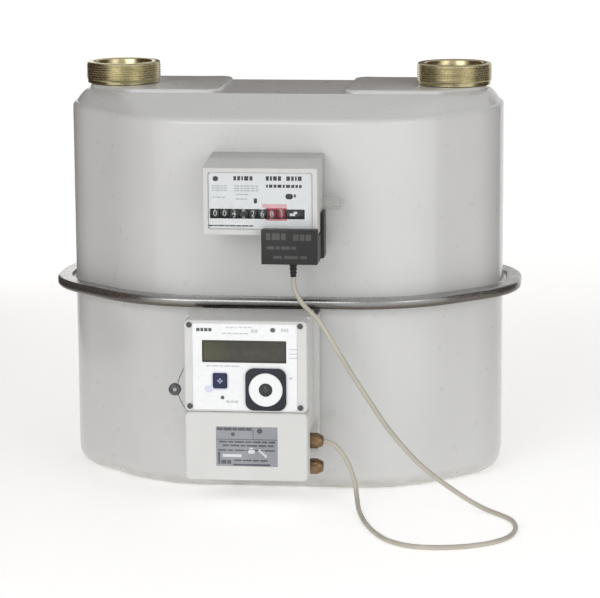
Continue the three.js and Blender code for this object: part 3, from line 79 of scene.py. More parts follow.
def add_camera():
    """A long lens, a little to the right of the meter and a little above it."""
    yaw, pitch, roll = CAMERA["yaw"], CAMERA["pitch"], CAMERA["roll"]
    level = Vector((math.cos(yaw), math.sin(yaw), 0))
    forward = Vector((
        -math.sin(yaw) * math.cos(pitch),
        math.cos(yaw) * math.cos(pitch),
        math.sin(pitch),
    ))
    upright = level.cross(forward)
    right = math.cos(roll) * level - math.sin(roll) * upright
    up = math.sin(roll) * level + math.cos(roll) * upright
    turn = Matrix((right, up, -forward)).transposed()
    data = bpy.data.cameras.new("camera")
    data.sensor_fit = "HORIZONTAL"
    data.sensor_width = 36
    data.lens = CAMERA["lens"]
    data.clip_end = 60
    camera = add_object("camera", data)
    camera.matrix_world = Matrix.Translation(CAMERA["place"]) @ turn.to_4x4()
    bpy.context.scene.camera = camera


# Out of the transmitter's strain relief, down across the band, round a loop on the floor
# and up into the converter's upper gland. Metres.
CABLE_ROUTE = [
    (0.025, -0.186, 0.2259),
    (0.0256, -0.1866, 0.217),
    (0.0292, -0.188, 0.208),
    (0.0345, -0.189, 0.200),
    (0.0413, -0.190, 0.1932),
    (0.0496, -0.190, 0.1843),
    (0.065, -0.190, 0.1595),
    (0.081, -0.190, 0.133),
    (0.100, -0.190, 0.1035),
    (0.113, -0.190, 0.084),
    (0.127, -0.190, 0.0665),
    (0.142, -0.190, 0.050),
    (0.158, -0.190, 0.036),
    (0.176, -0.190, 0.023),
    (0.194, -0.191, 0.0115),
    (0.210, -0.196, 0.0046),
    (0.2235, -0.207, 0.0027),
    (0.2345, -0.224, 0.0026),
    (0.2395, -0.250, 0.0026),
    (0.235, -0.280, 0.0026),
    (0.222, -0.300, 0.0026),
    (0.201, -0.315, 0.0026),
    (0.173, -0.323, 0.0026),
    (0.147, -0.321, 0.0026),
    (0.126, -0.306, 0.0026),
    (0.111, -0.281, 0.0026),
    (0.099, -0.248, 0.0026),
    (0.092, -0.220, 0.0029),
    (0.088, -0.203, 0.0056),
    (0.0855, -0.190, 0.0125),
    (0.083, -0.1825, 0.024),
    (0.078, -0.1805, 0.039),
    (0.071, -0.180, 0.052),
    (0.0625, -0.180, 0.0615),
    (0.0526, -0.180, 0.065),
]
CABLE_DIAMETER = 0.0048


def smooth_route(points, steps):
    """Points along a centripetal Catmull-Rom curve through the given points."""
    stops = [Vector(p) for p in points]
    stops = [2 * stops[0] - stops[1]] + stops + [2 * stops[-1] - stops[-2]]
    line = []
    for i in range(1, len(stops) - 2):
        p0, p1, p2, p3 = stops[i - 1:i + 3]
        t1 = (p1 - p0).length ** 0.5
        t2 = t1 + (p2 - p1).length ** 0.5
        t3 = t2 + (p3 - p2).length ** 0.5
        for step in range(steps):
            t = t1 + (t2 - t1) * step / steps
            a1 = p0 * ((t1 - t) / t1) + p1 * (t / t1)
            a2 = p1 * ((t2 - t) / (t2 - t1)) + p2 * ((t - t1) / (t2 - t1))
            a3 = p2 * ((t3 - t) / (t3 - t2)) + p3 * ((t - t2) / (t3 - t2))
            b1 = a1 * ((t2 - t) / t2) + a2 * (t / t2)
            b2 = a2 * ((t3 - t) / (t3 - t1)) + a3 * ((t - t1) / (t3 - t1))
            line.append(b1 * ((t2 - t) / (t2 - t1)) + b2 * ((t - t1) / (t2 - t1)))
    line.append(stops[-2])
    return line


def curve_object(name, line, radius, resolution=5):
    data = bpy.data.curves.new(name, "CURVE")
    data.dimensions = "3D"
    data.bevel_depth = radius
    data.bevel_resolution = resolution
    data.use_fill_caps = True
    spline = data.splines.new("POLY")
    spline.points.add(len(line) - 1)
    for point, spot in zip(spline.points, line):
        point.co = (*spot, 1)
    return add_object(name, data)


def add_cable(material):
    line = smooth_route(CABLE_ROUTE, 8)
    cable = curve_object("cable", line, CABLE_DIAMETER / 2)
    place(cable, material, replaced=["signal_cable"])


# ---------------------------------------------------------------- solids

def solid_from(name, points, faces):
    """A mesh object from points in millimetres."""
    bm = bmesh.new()
    corners = [bm.verts.new(Vector(p) * MM) for p in points]
    for face in faces:
        bm.faces.new([corners[i] for i in face])
    bmesh.ops.recalc_face_normals(bm, faces=bm.faces)
    mesh = bpy.data.meshes.new(name)
    bm.to_mesh(mesh)
    bm.free()
    return add_object(name, mesh)


def loft(name, rings, is_closed_tour=False):
    """A skin over rings of equal count: capped at both ends, or joined last to first."""
    count = len(rings[0])
    points = [p for ring in rings for p in ring]
    faces = []
    spans = len(rings) if is_closed_tour else len(rings) - 1
    for i in range(spans):
        here = i * count
        there = ((i + 1) % len(rings)) * count
        for j in range(count):
            k = (j + 1) % count
            faces.append((here + j, here + k, there + k, there + j))
    if not is_closed_tour:
        faces.append(tuple(range(count - 1, -1, -1)))
        faces.append(tuple(range((len(rings) - 1) * count, len(rings) * count)))
    return solid_from(name, points, faces)


def turned(name, profile, centre, axis, segments=48):
    """A turned ring or disc: (radius, distance along the axis) pairs that close on themselves."""
    spin = {
        "x": lambda r, h, c, s: (h, r * c, r * s),
        "y": lambda r, h, c, s: (r * s, h, r * c),
        "z": lambda r, h, c, s: (r * c, r * s, h),
    }[axis]
    points = []
    columns = [[] for _ in range(segments)]
    for radius, height in profile:
        if radius < 1e-6:
            points.append(Vector(spin(0, height, 1, 0)) + Vector(centre))
            for column in columns:
                column.append(len(points) - 1)
            continue
        for i, column in enumerate(columns):
            angle = 2 * math.pi * i / segments
            ring_point = spin(radius, height, math.cos(angle), math.sin(angle))
            points.append(Vector(ring_point) + Vector(centre))
            column.append(len(points) - 1)
    faces = []
    closes_on_axis = profile[0][0] < 1e-6
    spans = len(profile) - 1 if closes_on_axis else len(profile)
    for i in range(segments):
        here, there = columns[i], columns[(i + 1) % segments]
        for j in range(spans):
            k = (j + 1) % len(profile)
            face = []
            for corner in (here[j], there[j], there[k], here[k]):
                if corner not in face:
                    face.append(corner)
            if len(face) > 2:
                faces.append(tuple(face))
    return solid_from(name, points, faces)


def rod(name, radius, start, end, centre, axis, segments):
    """A plain cylinder, mostly for boring holes."""
    return turned(name, [(0, start), (radius, start), (radius, end), (0, end)], centre, axis, segments)


def rounded_rect(left, right, low, high, radius, steps=6):
    """Corner points of a rounded rectangle, counterclockwise."""
    points = []
    corners = [(right, high, 0), (left, high, 1), (left, low, 2), (right, low, 3)]
    for x, y, quarter in corners:
        centre_x = x - radius if x == right else x + radius
        centre_y = y - radius if y == high else y + radius
        for step in range(steps + 1):
            angle = (quarter + step / steps) * math.pi / 2
            points.append((centre_x + radius * math.cos(angle), centre_y + radius * math.sin(angle)))
    return points


def front_of(node, grow, radius):
    """A node's outline seen from the front, grown on every side, with rounded corners."""
    low, high = box_mm(node)
    return rounded_rect(low.x - grow, high.x + grow, low.z - grow, high.z + grow, radius)


def prism(name, outline, axis, low, high):
    """An outline given thickness along an axis: (x, z) for y, (y, z) for x, (x, y) for z."""
    lift = {
        "x": lambda p, h: (h, p[0], p[1]),
        "y": lambda p, h: (p[0], h, p[1]),
        "z": lambda p, h: (p[0], p[1], h),
    }[axis]
    return loft(name, [[lift(p, h) for p in outline] for h in (low, high)])


def block(name, x0, x1, y0, y1, z0, z1):
    return prism(name, [(x0, z0), (x1, z0), (x1, z1), (x0, z1)], "y", y0, y1)


def evaluated(obj):
    """Replaces the object's mesh by the one its modifiers make."""
    mesh = bpy.data.meshes.new_from_object(obj.evaluated_get(bpy.context.evaluated_depsgraph_get()))
    obj.modifiers.clear()
    old = obj.data
    obj.data = mesh
    bpy.data.meshes.remove(old)
    return obj


def combine(base, tools, operation):
    for tool in tools:
        step = base.modifiers.new("combine", "BOOLEAN")
        step.operation = operation
        step.solver = "EXACT"
        step.object = tool
    evaluated(base)
    for tool in tools:
        bpy.data.objects.remove(tool)
    return base


def cut(base, *tools):
    return combine(base, tools, "DIFFERENCE")


def fuse(base, *tools):
    return combine(base, tools, "UNION")


def merge(name, parts):
    """Several separate bodies as one object, such as a row of printed marks."""
    bm = bmesh.new()
    for part in parts:
        bm.from_mesh(part.data)
        bpy.data.objects.remove(part)
    mesh = bpy.data.meshes.new(name)
    bm.to_mesh(mesh)
    bm.free()
    return add_object(name, mesh)


def soften(obj, width, segments=3, angle=35):
    """Rounds the edges of a solid by a width in millimetres."""
    step = obj.modifiers.new("soften", "BEVEL")
    step.width = width * MM
    step.segments = segments
    step.limit_method = "ANGLE"
    step.angle_limit = math.radians(angle)
    step.use_clamp_overlap = True
    return evaluated(obj)


def place(obj, material, body="casing", replaced=(), sharp=32):
    """Gives a piece its finish, the CAD body it rides on and the nodes it stands for."""
    obj.data.materials.clear()
    obj.data.materials.append(material)
    if obj.type == "MESH":
        for face in obj.data.polygons:
            face.use_smooth = True
        obj.data.set_sharp_from_angle(angle=math.radians(sharp))
    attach(obj, body)
    if replaced:
        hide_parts(*replaced)
    return obj


def repaint(node, material):
    """A CAD node whose shape is right gets a better material."""
    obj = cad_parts[node]
    if not obj.material_slots:
        obj.data.materials.append(material)
    for slot in obj.material_slots:
        slot.material = material


# ---------------------------------------------------------------- materials

class Nodes:
    """Short calls for building one material's node tree."""

    def __init__(self, name):
        self.material = bpy.data.materials.new(name)
        self.material.use_nodes = True
        self.tree = self.material.node_tree
        self.shader = self.tree.nodes["Principled BSDF"]
        self.place = self.tree.nodes.new("ShaderNodeTexCoord").outputs["Object"]

    def link(self, source, target):
        self.tree.links.new(source, target)

    def step(self, kind, output, sockets, **settings):
        """One node: its settings, then each socket linked or set. Gives the named output."""
        node = self.tree.nodes.new("ShaderNode" + kind)
        for setting, value in settings.items():
            setattr(node, setting, value)
        for socket, value in sockets.items():
            if isinstance(value, bpy.types.NodeSocket):
                self.link(value, node.inputs[socket])
            else:
                node.inputs[socket].default_value = value
        return node.outputs[output]

    def noise(self, scale, detail=3.0, stretch=(1, 1, 1)):
        spread = self.step("Mapping", "Vector", {"Scale": stretch, "Vector": self.place})
        return self.step("TexNoise", "Fac", {"Scale": scale, "Detail": detail, "Vector": spread})

    def ranged(self, value, low, high, from_low=0.3, from_high=0.7):
        return self.step("MapRange", "Result", {
            "From Min": from_low, "From Max": from_high, "To Min": low, "To Max": high, "Value": value,
        })

    def mixed(self, factor, first, second):
        """A colour between two others, each a colour with its alpha, or a socket."""
        return self.step("Mix", "Result", {"A": first, "B": second, "Factor": factor}, data_type="RGBA")

    def height(self, axis):
        return self.step("SeparateXYZ", axis, {"Vector": self.place})

    def times(self, first, second):
        return self.step("Math", "Value", {0: first, 1: second}, operation="MULTIPLY")

    def bump(self, value, strength, distance_mm):
        return self.step("Bump", "Normal", {
            "Strength": strength, "Distance": distance_mm * MM, "Height": value,
        })

    def recolour(self, factor, color):
        """Mixes a colour into the finish where the factor is high."""
        base = self.shader.inputs["Base Color"]
        self.link(self.mixed(factor, base.links[0].from_socket, (*color, 1)), base)

    def glow(self, color, strength):
        self.shader.inputs["Emission Color"].default_value = (*color, 1)
        self.shader.inputs["Emission Strength"].default_value = strength


def finish_of(name, color, roughness, metallic=0.0, tone=0.05, grain=1500, bump_mm=0.02,
              rough_spread=0.06, stretch=(1, 1, 1), coat=0.0, specular=0.5, mottle=40):
    """The general finish: fine grain in the bump, slow drift in tone and gloss."""
    n = Nodes(name)
    shader = n.shader
    shader.inputs["Metallic"].default_value = metallic
    shader.inputs["Specular IOR Level"].default_value = specular
    shader.inputs["Coat Weight"].default_value = coat
    shader.inputs["Coat Roughness"].default_value = 0.10
    darker = (*(c * (1 - 2 * tone) for c in color), 1)
    lighter = (*(min(1, c * (1 + tone)) for c in color), 1)
    drift = n.noise(mottle, 4, stretch)
    n.link(n.mixed(n.ranged(drift, 0, 1), darker, lighter), shader.inputs["Base Color"])
    rough_low = max(0.03, roughness - rough_spread)
    n.link(
        n.ranged(n.noise(mottle * 5, 3, stretch), rough_low, roughness + rough_spread),
        shader.inputs["Roughness"],
    )
    n.link(n.bump(n.noise(grain, 2, stretch), 0.4, bump_mm), shader.inputs["Normal"])
    return n


def casing_paint():
    """Light grey enamel: orange-peel skin, faint drift, painted shade at the foot and painted shadow under
    the band.
    """
    n = finish_of("casing_paint", (0.62, 0.62, 0.61), 0.32, tone=0.012, grain=420, bump_mm=0.018,
                  rough_spread=0.05, coat=0.55, mottle=14)
    foot_shade_top, band_shadow_low, band_shadow_high, band_shadow_end = 0.016, 0.176, 0.1885, 0.1890
    z = n.height("Z")
    # Painted shade: towards the foot, where the wall rounds under, the paint turns darker, broken up by
    # noise.
    foot = n.times(n.ranged(z, 1, 0, 0.0, foot_shade_top), n.ranged(n.noise(55, 5, (1, 1, 2)), 0.2, 1))
    n.recolour(foot, (0.34, 0.31, 0.26))
    # Painted shadow: a darker, patchy strip on the paint just under the clamp band.
    band_shadow = n.times(n.ranged(z, 0, 1, band_shadow_low, band_shadow_high), n.ranged(z, 1, 0, band_shadow_high, band_shadow_end))
    patchy_band_shadow = n.times(band_shadow, n.ranged(n.noise(80, 4, (1, 1, 3)), 0.1, 0.6))
    n.recolour(patchy_band_shadow, (0.40, 0.385, 0.36))
    return n.material


def band_metal():
    """Rolled strip, bright on top, with painted shade and a painted dark reflection towards its underside."""
    n = finish_of("band_metal", (0.40, 0.40, 0.395), 0.27, metallic=0.95, tone=0.035, grain=900,
                  bump_mm=0.02, rough_spread=0.06, stretch=(1, 1, 9), mottle=24)
    low, high = box_mm("clamp_band")
    # Painted shade and reflection: at its lower edge the strip is mixed towards a dark brown-grey.
    under = n.ranged(n.height("Z"), 1, 0, (low.z + 2.5) * MM, (high.z - 1.8) * MM)
    n.recolour(under, (0.13, 0.115, 0.10))
    return n.material


def brass_for_collars():
    """Cast and turned brass with uneven dulling."""
    return finish_of("collar_brass", (0.54, 0.475, 0.28), 0.25, metallic=1.0, tone=0.10, grain=700,
                     bump_mm=0.04, rough_spread=0.08, stretch=(1, 1, 6), mottle=50).material


def brass_for_glands():
    return finish_of("gland_brass", (0.25, 0.165, 0.09), 0.32, metallic=0.9, tone=0.16, grain=900,
                     bump_mm=0.03, rough_spread=0.1, mottle=120).material


def dull_steel():
    return finish_of("dull_steel", (0.42, 0.43, 0.44), 0.33, metallic=0.9, tone=0.08, grain=1100,
                     bump_mm=0.02, mottle=90).material


def sheet_zinc():
    return finish_of("sheet_zinc", (0.46, 0.47, 0.48), 0.42, metallic=0.8, tone=0.12, grain=600,
                     bump_mm=0.02, mottle=70).material


def moulded(name, color, roughness, tone=0.02, bump_mm=0.03, grain=1600, specular=0.45):
    return finish_of(name, color, roughness, tone=tone, bump_mm=bump_mm, grain=grain,
                     specular=specular).material


def display_glass():
    """Dark display glass, more olive at its left."""
    n = finish_of("display_glass", (0.052, 0.048, 0.036), 0.16, tone=0.1, bump_mm=0.004, mottle=200)
    left = box_mm("display_window")[0].x
    n.recolour(n.ranged(n.height("X"), 0.85, 0, left * MM, (left + 30) * MM), (0.075, 0.078, 0.030))
    return n.material


def clear_pane():
    n = finish_of("clear_pane", (0.98, 0.99, 0.99), 0.05, tone=0.002, bump_mm=0.002, grain=300,
                  rough_spread=0.02)
    n.shader.inputs["Transmission Weight"].default_value = 1.0
    n.shader.inputs["IOR"].default_value = 1.2
    return n.material


def studio_floor():
    """A pale sweep that glows a little, as a lit backdrop does."""
    n = finish_of("studio_floor", (0.90, 0.895, 0.885), 0.75, tone=0.004, bump_mm=0.01, grain=300)
    n.glow((1, 1, 1), 0.42)
    return n.material


def card(name, color, glow=0.0):
    """A studio card that only shows in reflections."""
    n = finish_of(name, color, 0.9, tone=0.01, mottle=5)
    n.glow(color, glow)
    return n.material


class looks:
    """Every finish, made once."""
    paint = casing_paint()
    band = band_metal()
    brass = brass_for_collars()
    gland = brass_for_glands()
    steel = dull_steel()
    zinc = sheet_zinc()
    dark_steel = finish_of("screw_steel", (0.13, 0.13, 0.13), 0.4, metallic=0.8, tone=0.15,
                           mottle=200).material
    index_plastic = moulded("index_plastic", (0.60, 0.60, 0.585), 0.42)
    index_roof = moulded("index_roof", (0.47, 0.47, 0.455), 0.45)
    dial = moulded("dial_white", (0.86, 0.87, 0.88), 0.4, tone=0.01, bump_mm=0.005)
    ink = moulded("dial_ink", (0.045, 0.045, 0.055), 0.5, tone=0.1, bump_mm=0.005)
    pale_ink = moulded("pale_ink", (0.56, 0.57, 0.59), 0.5, tone=0.05, bump_mm=0.005)
    red_ink = moulded("red_ink", (0.62, 0.10, 0.14), 0.5, tone=0.06, bump_mm=0.005)
    pink_ink = moulded("pink_ink", (0.80, 0.50, 0.52), 0.5, tone=0.04, bump_mm=0.005)
    pane = clear_pane()
    wheel_black = moulded("wheel_black", (0.014, 0.014, 0.016), 0.4, tone=0.2, bump_mm=0.01)
    wheel_red = moulded("wheel_red", (0.26, 0.018, 0.035), 0.4, tone=0.1, bump_mm=0.01)
    digit = moulded("digit_white", (0.66, 0.67, 0.66), 0.5, tone=0.05, bump_mm=0.005)
    black = moulded("transmitter_black", (0.010, 0.010, 0.010), 0.38, tone=0.15, bump_mm=0.04)
    black_print = moulded("transmitter_print", (0.065, 0.065, 0.06), 0.5, tone=0.15, bump_mm=0.01)
    black_rubber = moulded("relief_rubber", (0.016, 0.016, 0.016), 0.6, tone=0.15, bump_mm=0.03)
    cable = moulded("cable_sheath", (0.50, 0.465, 0.40), 0.45, tone=0.06, bump_mm=0.03, grain=900)
    converter = moulded("converter_plastic", (0.66, 0.66, 0.645), 0.45, tone=0.012, bump_mm=0.03)
    foil = moulded("foil_white", (0.85, 0.86, 0.865), 0.28, tone=0.01, bump_mm=0.01, grain=900)
    display = display_glass()
    frame_black = moulded("display_frame", (0.035, 0.034, 0.028), 0.4, tone=0.1, bump_mm=0.01)
    navy = moulded("button_navy", (0.012, 0.018, 0.06), 0.35, tone=0.15, bump_mm=0.02)
    navy_print = moulded("port_navy", (0.008, 0.013, 0.022), 0.4, tone=0.2, bump_mm=0.01)
    violet = moulded("button_violet", (0.45, 0.45, 0.72), 0.4, tone=0.05, bump_mm=0.01)
    halo = moulded("button_halo", (0.66, 0.68, 0.80), 0.4, tone=0.03, bump_mm=0.005)
    port_core = moulded("port_core", (0.022, 0.034, 0.030), 0.25, tone=0.2, bump_mm=0.01)
    label = moulded("label_grey", (0.30, 0.31, 0.335), 0.38, tone=0.05, bump_mm=0.01)
    label_dark = moulded("label_dark", (0.105, 0.11, 0.125), 0.5, tone=0.15, bump_mm=0.005)
    label_pale = moulded("label_pale", (0.68, 0.69, 0.72), 0.5, tone=0.04, bump_mm=0.005)
    lead = finish_of("lead", (0.13, 0.13, 0.135), 0.5, metallic=0.6, tone=0.2, bump_mm=0.12,
                     grain=500, mottle=160).material
    lead_light = finish_of("lead_light", (0.50, 0.51, 0.52), 0.4, metallic=0.6, tone=0.1,
                           bump_mm=0.1, grain=500).material
    rubber = moulded("gasket_rubber", (0.02, 0.02, 0.02), 0.7, tone=0.15)
    unit = moulded("unit_plastic", (0.62, 0.58, 0.48), 0.5, tone=0.04)
    valve = moulded("valve_plastic", (0.05, 0.052, 0.06), 0.4, tone=0.1)
    board = moulded("board_green", (0.014, 0.10, 0.036), 0.3, tone=0.2)
    cloth = finish_of("diaphragm_cloth", (0.40, 0.25, 0.12), 0.75, tone=0.08, bump_mm=0.15,
                      grain=900).material
    floor = studio_floor()
    brown_card = card("brown_card", (0.085, 0.055, 0.042))
    white_card = card("white_card", (0.95, 0.95, 0.94), 0.6)


# ---------------------------------------------------------------- casing

CASING = {
    "side": (217, 42),
    "front": (124, 126),
    "side_radius": 70,
    "front_radius": 130,
    "wall": 2,
    "flange": 2.0,
    "deck": 387,
    "deck_edge_fall": 0.9,
    "crease_front": 369.5,
    "crease_side": 376,
    "crease_radius": 6.3,
    "bottom_radius": 20,
    "pad_inner": 63,
    "pad_rise": 3.5,
    "pad_corner": 14,
    "pad_edge": 2.4,
    "pipe_bore": 33.4,
    "drive_bore": 8.6,
}
DECK = {"side": (203, 22), "front": (158, 68), "radius": 22}


def outline_quarter(corners, radii, arc_steps=14, run_steps=8):
    """One quarter of a convex outline, from the +X side to the +Y side."""
    stops = [
        Vector((corners[0][0], 0)), Vector(corners[0]), Vector(corners[1]), Vector((0, corners[1][1])),
    ]
    quarter = []
    previous = stops[0]
    for i in (1, 2):
        inward = (stops[i] - stops[i - 1]).normalized()
        outward = (stops[i + 1] - stops[i]).normalized()
        turn = inward.angle(outward)
        start = stops[i] - inward * radii[i - 1] * math.tan(turn / 2)
        centre = start + Vector((-inward.y, inward.x)) * radii[i - 1]
        for step in range(1, run_steps):
            quarter.append(previous.lerp(start, step / run_steps))
        for step in range(arc_steps + 1):
            spoke = start - centre
            spoke.rotate(Matrix.Rotation(turn * step / arc_steps, 2))
            quarter.append(centre + spoke)
        previous = quarter[-1]
    for step in range(1, run_steps):
        quarter.append(previous.lerp(stops[3], step / run_steps))
    return quarter


def mirrored(quarter):
    back = quarter[::-1]
    parts = [(quarter, 1, 1), (back, -1, 1), (quarter, -1, -1), (back, 1, -1)]
    return [(p.x * sx, p.y * sy) for part, sx, sy in parts for p in part]


def casing_outline(out):
    side, front = Vector(CASING["side"]), Vector(CASING["front"])
    facet = (front - side).normalized()
    facet_out = Vector((facet.y, -facet.x))
    corners = []
    for corner, wall_out in ((side, Vector((1, 0))), (front, Vector((0, 1)))):
        both = wall_out + facet_out
        corners.append(corner + both * (out / (1 + wall_out.dot(facet_out))))
    radii = (CASING["side_radius"] + out, CASING["front_radius"] + out)
    return mirrored(outline_quarter(corners, radii))


def deck_outline(inset):
    corners = (
        (DECK["side"][0] - inset, DECK["side"][1]),
        (DECK["front"][0] - inset, DECK["front"][1] - inset),
    )
    return mirrored(outline_quarter(corners, (DECK["radius"], DECK["radius"])))


def casing_ring(out, z):
    return [(x, y, z) for x, y in casing_outline(out)]


def deck_ring(inset, z):
    return [(x, y, z) for x, y in deck_outline(inset)]


def crease_ring(out, rise):
    half_depth = CASING["front"][1]
    fall = (CASING["crease_side"] - CASING["crease_front"]) / half_depth
    return [
        (x, y, CASING["crease_side"] - fall * min(abs(y), half_depth) + rise)
        for x, y in casing_outline(out)
    ]


def shoulder_ring(share, lift):
    """Between the crease and the deck's edge, a little above the straight line."""
    low = crease_ring(-4.4, 0)
    high = deck_ring(0, CASING["deck"] - CASING["deck_edge_fall"])
    ring = []
    for (x0, y0, z0), (x1, y1, z1) in zip(low, high):
        ring.append((x0 + (x1 - x0) * share, y0 + (y1 - y0) * share, z0 + (z1 - z0) * share + lift))
    return ring


def flange_rings(bottom, top, reach, is_upper):
    """The flange, and the small fillet where it meets the wall."""
    edge, fillet = 0.6, 2.2
    flange = [
        casing_ring(reach - edge, bottom),
        casing_ring(reach, bottom + edge),
        casing_ring(reach, top - edge),
        casing_ring(reach - edge, top),
    ]
    start, side = (top, 1) if is_upper else (bottom, -1)
    bend = []
    for degrees in (0, 30, 60, 90):
        angle = math.radians(degrees)
        rise = side * fillet * (1 - math.cos(angle))
        bend.append(casing_ring(fillet * (1 - math.sin(angle)), start + rise))
    return flange, bend


def is_upright_at(edge, x):
    """Whether an edge stands upright at a place in X, in millimetres."""
    a, b = (v.co for v in edge.verts)
    return abs(a.z - b.z) > MM and abs(a.x / MM - x) < 0.01


def is_rim_at(edge, z):
    """Whether an edge borders a level top face at a height in metres."""
    is_level = all(abs(v.co.z - z) < 1e-6 for v in edge.verts)
    return is_level and sum(abs(f.normal.z) > 0.9 for f in edge.link_faces) == 1


def pad_solid(side):
    """A raised field on the deck, on the left (-1) or the right (1), with rounded inner corners."""
    inner = side * CASING["pad_inner"]
    outline = [p for p in deck_outline(4.0) if (p[0] - inner) * side > 0]
    edge_y = max(y for x, y in outline)
    if side > 0:
        first = next(i for i, p in enumerate(outline) if p[1] < 0)
        outline = outline[first:] + outline[:first]
    outline += [(inner, side * edge_y), (inner, -side * edge_y)]
    top = CASING["deck"] + CASING["pad_rise"]
    pad = prism("pad", outline, "z", CASING["deck"] - 1.2, top)
    bm = bmesh.new()
    bm.from_mesh(pad.data)
    upright = [e for e in bm.edges if is_upright_at(e, inner)]
    bmesh.ops.bevel(bm, geom=upright, offset=CASING["pad_corner"] * MM, segments=8, affect="EDGES",
                    profile=0.5)
    rim = [e for e in bm.edges if is_rim_at(e, top * MM)]
    bmesh.ops.bevel(bm, geom=rim, offset=CASING["pad_edge"] * MM, segments=4, affect="EDGES", profile=0.5)
    bm.to_mesh(pad.data)
    bm.free()
    return pad


def add_upper_casing():
    wall, radius, deck_top = CASING["wall"], CASING["crease_radius"], CASING["deck"]
    deck_edge = deck_top - CASING["deck_edge_fall"]
    low, high = box_mm("upper_casing")
    flange, bend = flange_rings(low.z, low.z + CASING["flange"], high.x - CASING["side"][0], True)
    crease = []
    for step in range(8):
        angle = math.radians(72) * step / 7
        crease.append(crease_ring(-radius * (1 - math.cos(angle)), radius * (math.sin(angle) - 0.951)))
    shoulder = [shoulder_ring(s, 1.2 * math.sin(math.pi * s)) for s in (0.2, 0.4, 0.6, 0.8)]
    deck = [
        deck_ring(0, deck_edge), deck_ring(1.6, deck_top - 0.45),
        deck_ring(3.6, deck_top - 0.12), deck_ring(6, deck_top),
    ]
    inside = [
        deck_ring(0, deck_edge - wall), crease_ring(-radius, -wall),
        crease_ring(-wall, -radius), casing_ring(-wall, low.z),
    ]
    walls = [casing_ring(0, z) for z in (220, 260, 300, 340)]
    shell = loft("upper_casing_sheet", inside + flange + bend + walls + crease + shoulder + deck)
    fuse(shell, pad_solid(-1), pad_solid(1))
    tools = []
    for node in ("inlet_connector", "outlet_connector"):
        centre = centre_mm(node)
        tools.append(rod("bore", CASING["pipe_bore"], 340, 400, (centre.x, centre.y, 0), "z", 64))
    drive = centre_mm("drive_gland")
    tools.append(rod("hole", CASING["drive_bore"], -130, -120, (drive.x, 0, drive.z), "y", 32))
    cut(shell, *tools)
    place(shell, looks.paint, replaced=["upper_casing"], sharp=24)


def add_lower_casing():
    low, high = box_mm("lower_casing")
    wall, radius = CASING["wall"], CASING["bottom_radius"]
    flange, bend = flange_rings(high.z - CASING["flange"], high.z, high.x - CASING["side"][0], False)

    def foot(inset):
        rings = []
        for degrees in (0, 15, 30, 45, 60, 75, 90):
            angle = math.radians(degrees)
            rise = radius * (1 - math.cos(angle))
            rings.append(casing_ring(-inset - radius * (1 - math.sin(angle)), low.z + inset + rise))
        return rings

    rings = [casing_ring(-radius - 20, low.z)] + foot(0)
    rings += [casing_ring(0, z) for z in (50, 100, 150)]
    rings += bend[::-1] + flange + [casing_ring(-wall, high.z)]
    rings += foot(wall)[::-1] + [casing_ring(-radius - 20, low.z + wall)]
    shell = loft("lower_casing_sheet", rings)
    place(shell, looks.paint, replaced=["lower_casing"], sharp=24)


def add_clamp_band():
    low, high = box_mm("clamp_band")
    reach = high.x - CASING["side"][0]
    lip, wall, round_radius = 4.2, 2.0, 3.6
    bottom, top = low.z, high.z
    section = [(lip, bottom + 0.5), (lip + 0.5, bottom)]
    for centre_z, start in ((bottom + round_radius, -90), (top - round_radius, 0)):
        for step in range(7):
            angle = math.radians(start + 15 * step)
            section.append((
                reach - round_radius + round_radius * math.cos(angle),
                centre_z + round_radius * math.sin(angle),
            ))
    section += [
        (lip + 0.5, top), (lip, top - 0.5), (lip, top - wall + 0.1),
        (reach - wall, top - wall), (reach - wall, bottom + wall), (lip, bottom + wall - 0.1),
    ]
    band = loft("clamp_band_strip", [casing_ring(out, z) for out, z in section], is_closed_tour=True)
    place(band, looks.band, replaced=["clamp_band"], sharp=40)


# ---------------------------------------------------------------- pipe connections

THREAD = {"pitch": 2.309, "depth": 0.8, "turn_steps": 96, "pitch_steps": 8}


def thread_height(z, angle, low, high):
    """How far the thread stands above its root, fading out at both ends."""
    phase = (z / THREAD["pitch"] - angle / (2 * math.pi)) % 1.0
    ridge = min(1.0, max(0.0, 1.6 * (0.5 - abs(phase - 0.5)) * 2 - 0.25))
    fade = min(1.0, (z - low) / 1.6, (high - z) / 1.6)
    return THREAD["depth"] * ridge * max(0.0, fade)


def add_connector(node, name):
    low, high = box_mm(node)
    centre = (low + high) / 2
    root = (high.x - low.x) / 2 - THREAD["depth"]
    bore, spigot = 29.0, 33.0
    deck_top = CASING["deck"] + CASING["pad_rise"] + 0.3
    thread_low, thread_high = deck_top + 3.4, high.z - 1.0

    def ring(radius, z, is_threaded=False):
        row = []
        for i in range(THREAD["turn_steps"]):
            angle = 2 * math.pi * i / THREAD["turn_steps"]
            reach = radius + (thread_height(z, angle, thread_low, thread_high) if is_threaded else 0)
            row.append((centre.x + reach * math.cos(angle), reach * math.sin(angle), z))
        return row

    rows = [ring(bore, low.z), ring(spigot - 0.6, low.z), ring(spigot, low.z + 0.6)]
    rows += [ring(spigot, deck_top), ring(root - 0.9, deck_top + 0.02)]
    rows += [ring(root - 0.3, deck_top + 0.5), ring(root - 0.3, thread_low - 0.6)]
    steps = int((thread_high - thread_low) / THREAD["pitch"] * THREAD["pitch_steps"])
    for i in range(steps + 1):
        rows.append(ring(root, thread_low + (thread_high - thread_low) * i / steps, True))
    rows += [ring(root + 0.2, high.z - 0.7), ring(root - 0.5, high.z)]
    rows += [ring(bore + 1.4, high.z), ring(bore + 0.5, high.z - 0.4)]
    rows += [ring(bore, high.z - 1.4), ring(bore, high.z - 10)]
    collar = loft(name, rows, is_closed_tour=True)
    place(collar, looks.brass, replaced=[node], sharp=50)


# ---------------------------------------------------------------- index

INDEX = {
    "roof_front": 331,
    "wall": 2.5,
    "drive_bore": 8.3,
    "lug_low": 285,
    "lug_high": 297,
    "lug_ahead": 4.3,
    "lug_depth": 3.0,
}


